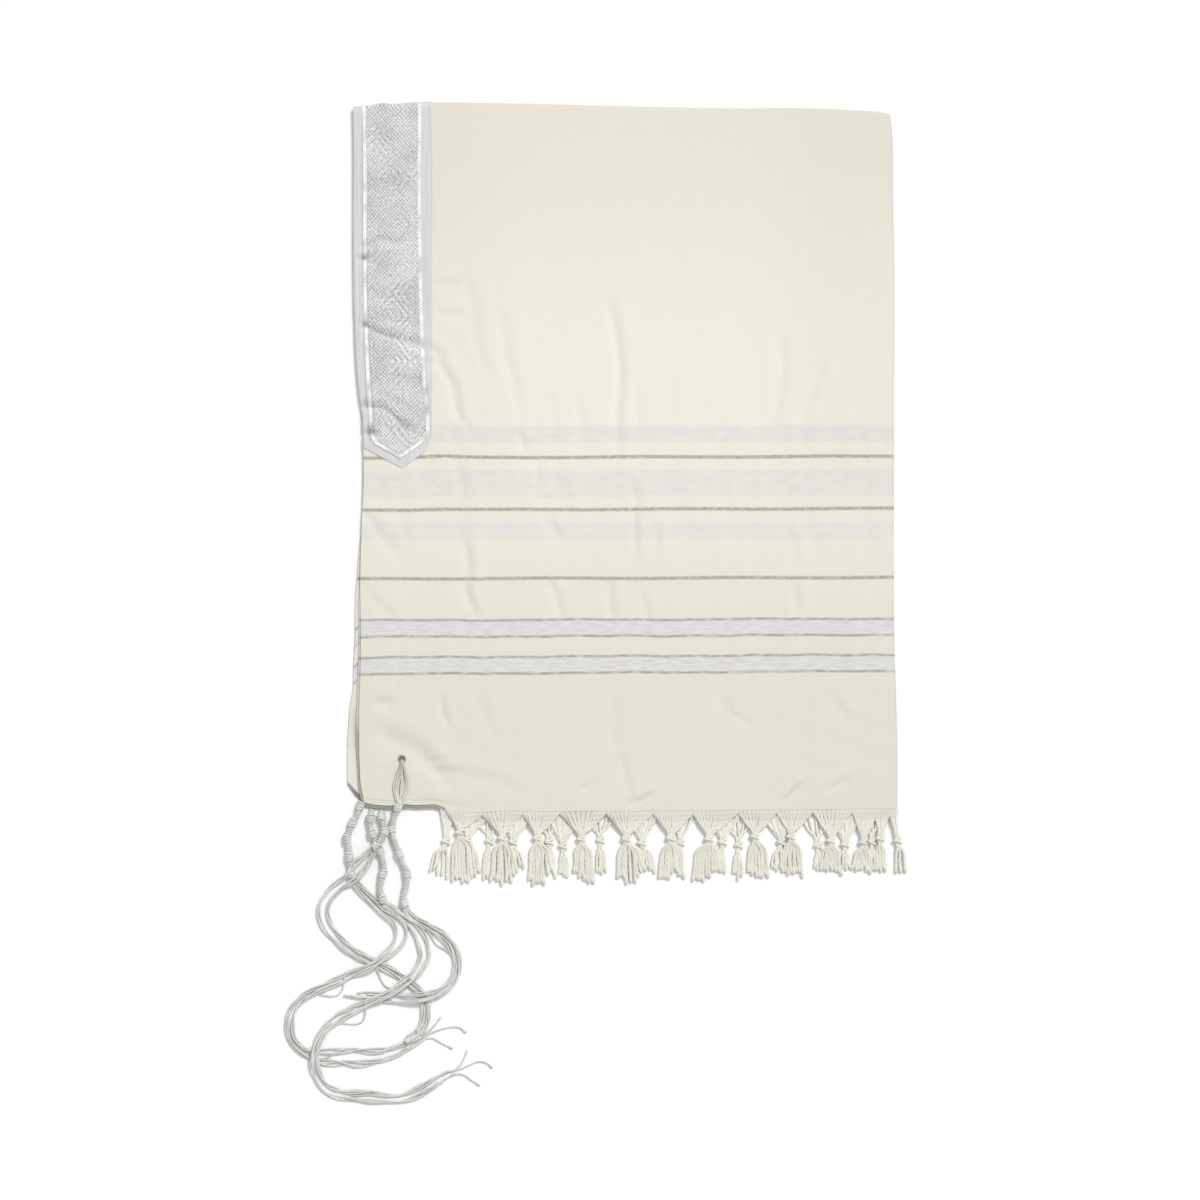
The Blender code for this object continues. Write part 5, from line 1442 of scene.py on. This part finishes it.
def loop_part(number, rest, wall):
    """One cord of the loop: up out of the hole, over the cloth and down to the hem, darker towards the hole
    and at one spot.
    """
    x, y = EYELET
    third, lower = LOOPS[number]
    start, hem_x = x + (number - 2.5) * 0.5, LOOP_HEM[0] + number * LOOP_HEM[1]
    route = [(start, y - 1.2), (start, y - 6), (third, -349), (lower, -366), (hem_x, -384)]
    _, flat = smooth_route(route, 1.5)
    height = drape(flat[:, 0], flat[:, 1], rest)[:, 2] + wall + LOOP_RADIUS + 0.15
    height = height - 3.2 * ease((flat[:, 1] - (y - 4.5)) / 3.2) + 0.9 * (number % 2)
    part = tube(np.column_stack([flat, height]), LOOP_RADIUS, 8, lay=STRAND_LAY)
    darker_by_hole = 1 - 0.32 * ease((part.points[..., 1] - (y - 20)) / 16)
    spot = bell(part.points[..., 0] - LOOP_SPOT[0], 2.2) * bell(part.points[..., 1] - LOOP_SPOT[1], 2.6)
    return part._replace(shade=darker_by_hole - 0.5 * spot)


def stitch_part(at, rest, wall):
    """One short stitch that bows up out of the hem."""
    _, _, _, length, inside, radius = STITCHES
    flat_x, flat_y = np.linspace(at, at + length, 5), np.full(5, float(smooth_along(HEM, at)) + inside)
    height = drape(flat_x, flat_y, rest)[:, 2] + wall + 0.22 * np.sin(np.linspace(0, np.pi, 5)) - 0.05
    return tube(np.column_stack([flat_x, flat_y, height]), radius, 5)


class TALLIT_OT_stitching(bpy.types.Operator):
    """Works the eyelet, the loop through it and the stitches of the hem"""

    bl_idname = "tallit.stitching"
    bl_label = "Eyelet and stitches"

    def execute(self, context):
        look, sizes = context.scene.tallit_looks, context.scene.tallit_sizes
        rest, wall = sizes.front_rest / MM, sizes.cloth_wall / MM
        # The inner ring's dark brown is worn thread with the hole's shade painted into it
        worn_and_shaded = twisted_cord("cotton_buttonhole_worn_and_shaded", look.worn_and_shaded_colour, look.worn_and_shaded_colour, THREAD_LAY)
        twist = twisted_cord("cotton_buttonhole_twist", look.eyelet_colour, look.loop_colour, THREAD_LAY)
        cord = twisted_cord("wool_two_ply_handled", look.loop_colour, look.loop_shade_colour, STRAND_LAY)
        level = float(drape(np.array(EYELET[0]), np.array(EYELET[1] + 7), rest)[..., 2]) + wall
        part = stitch_ring(*OUTER_STITCHES, level)
        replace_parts(assemble("eyelet_stitching", [part], twist), "eyelet")
        part = stitch_ring(*INNER_STITCHES, level)
        assemble("eyelet_inner_stitches", [part], worn_and_shaded)
        parts = [loop_part(number, rest, wall) for number in range(len(LOOPS))]
        loop = assemble("tzitzit_4_loop_cords", parts, cord)
        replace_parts(loop, "tzitzit_4_loop_left", "tzitzit_4_loop_right")
        colours = look.fringe_colour, look.fringe_shade_colour
        thread = twisted_cord("cotton_hem_thread", *colours, THREAD_LAY)
        parts = [stitch_part(at, rest, wall) for at in np.arange(*STITCHES[:3])]
        assemble("hem_stitches", parts, thread)
        return {"FINISHED"}


class TALLIT_PT_panel(bpy.types.Panel):
    """Lists the steps that build the shawl"""

    bl_label = "Tallit"
    bl_idname = "TALLIT_PT_panel"
    bl_space_type = "VIEW_3D"
    bl_region_type = "UI"
    bl_category = "Tallit"

    def draw(self, context):
        layout = self.layout
        for step in STEPS:
            layout.operator(step.bl_idname, text=step.bl_label)
        for group in (context.scene.tallit_sizes, context.scene.tallit_looks):
            for name in group.__annotations__:
                layout.prop(group, name)


STEPS = (
    TALLIT_OT_stage,
    TALLIT_OT_stems,
    TALLIT_OT_strands,
    TALLIT_OT_cloth,
    TALLIT_OT_neckband,
    TALLIT_OT_fringes,
    TALLIT_OT_stitching,
)
CLASSES = (TallitLooks, TallitSizes, *STEPS, TALLIT_PT_panel)


def register():
    for item in CLASSES:
        bpy.utils.register_class(item)
    bpy.types.Scene.tallit_looks = bpy.props.PointerProperty(type=TallitLooks)
    bpy.types.Scene.tallit_sizes = bpy.props.PointerProperty(type=TallitSizes)


def unregister():
    del bpy.types.Scene.tallit_sizes
    del bpy.types.Scene.tallit_looks
    for item in reversed(CLASSES):
        bpy.utils.unregister_class(item)


def main():
    register()
    bpy.ops.tallit.stage()
    bpy.ops.tallit.stems()
    bpy.ops.tallit.strands()
    bpy.ops.tallit.cloth()
    bpy.ops.tallit.neckband()
    bpy.ops.tallit.fringes()
    bpy.ops.tallit.stitching()


if __name__ == "__main__":
    main()
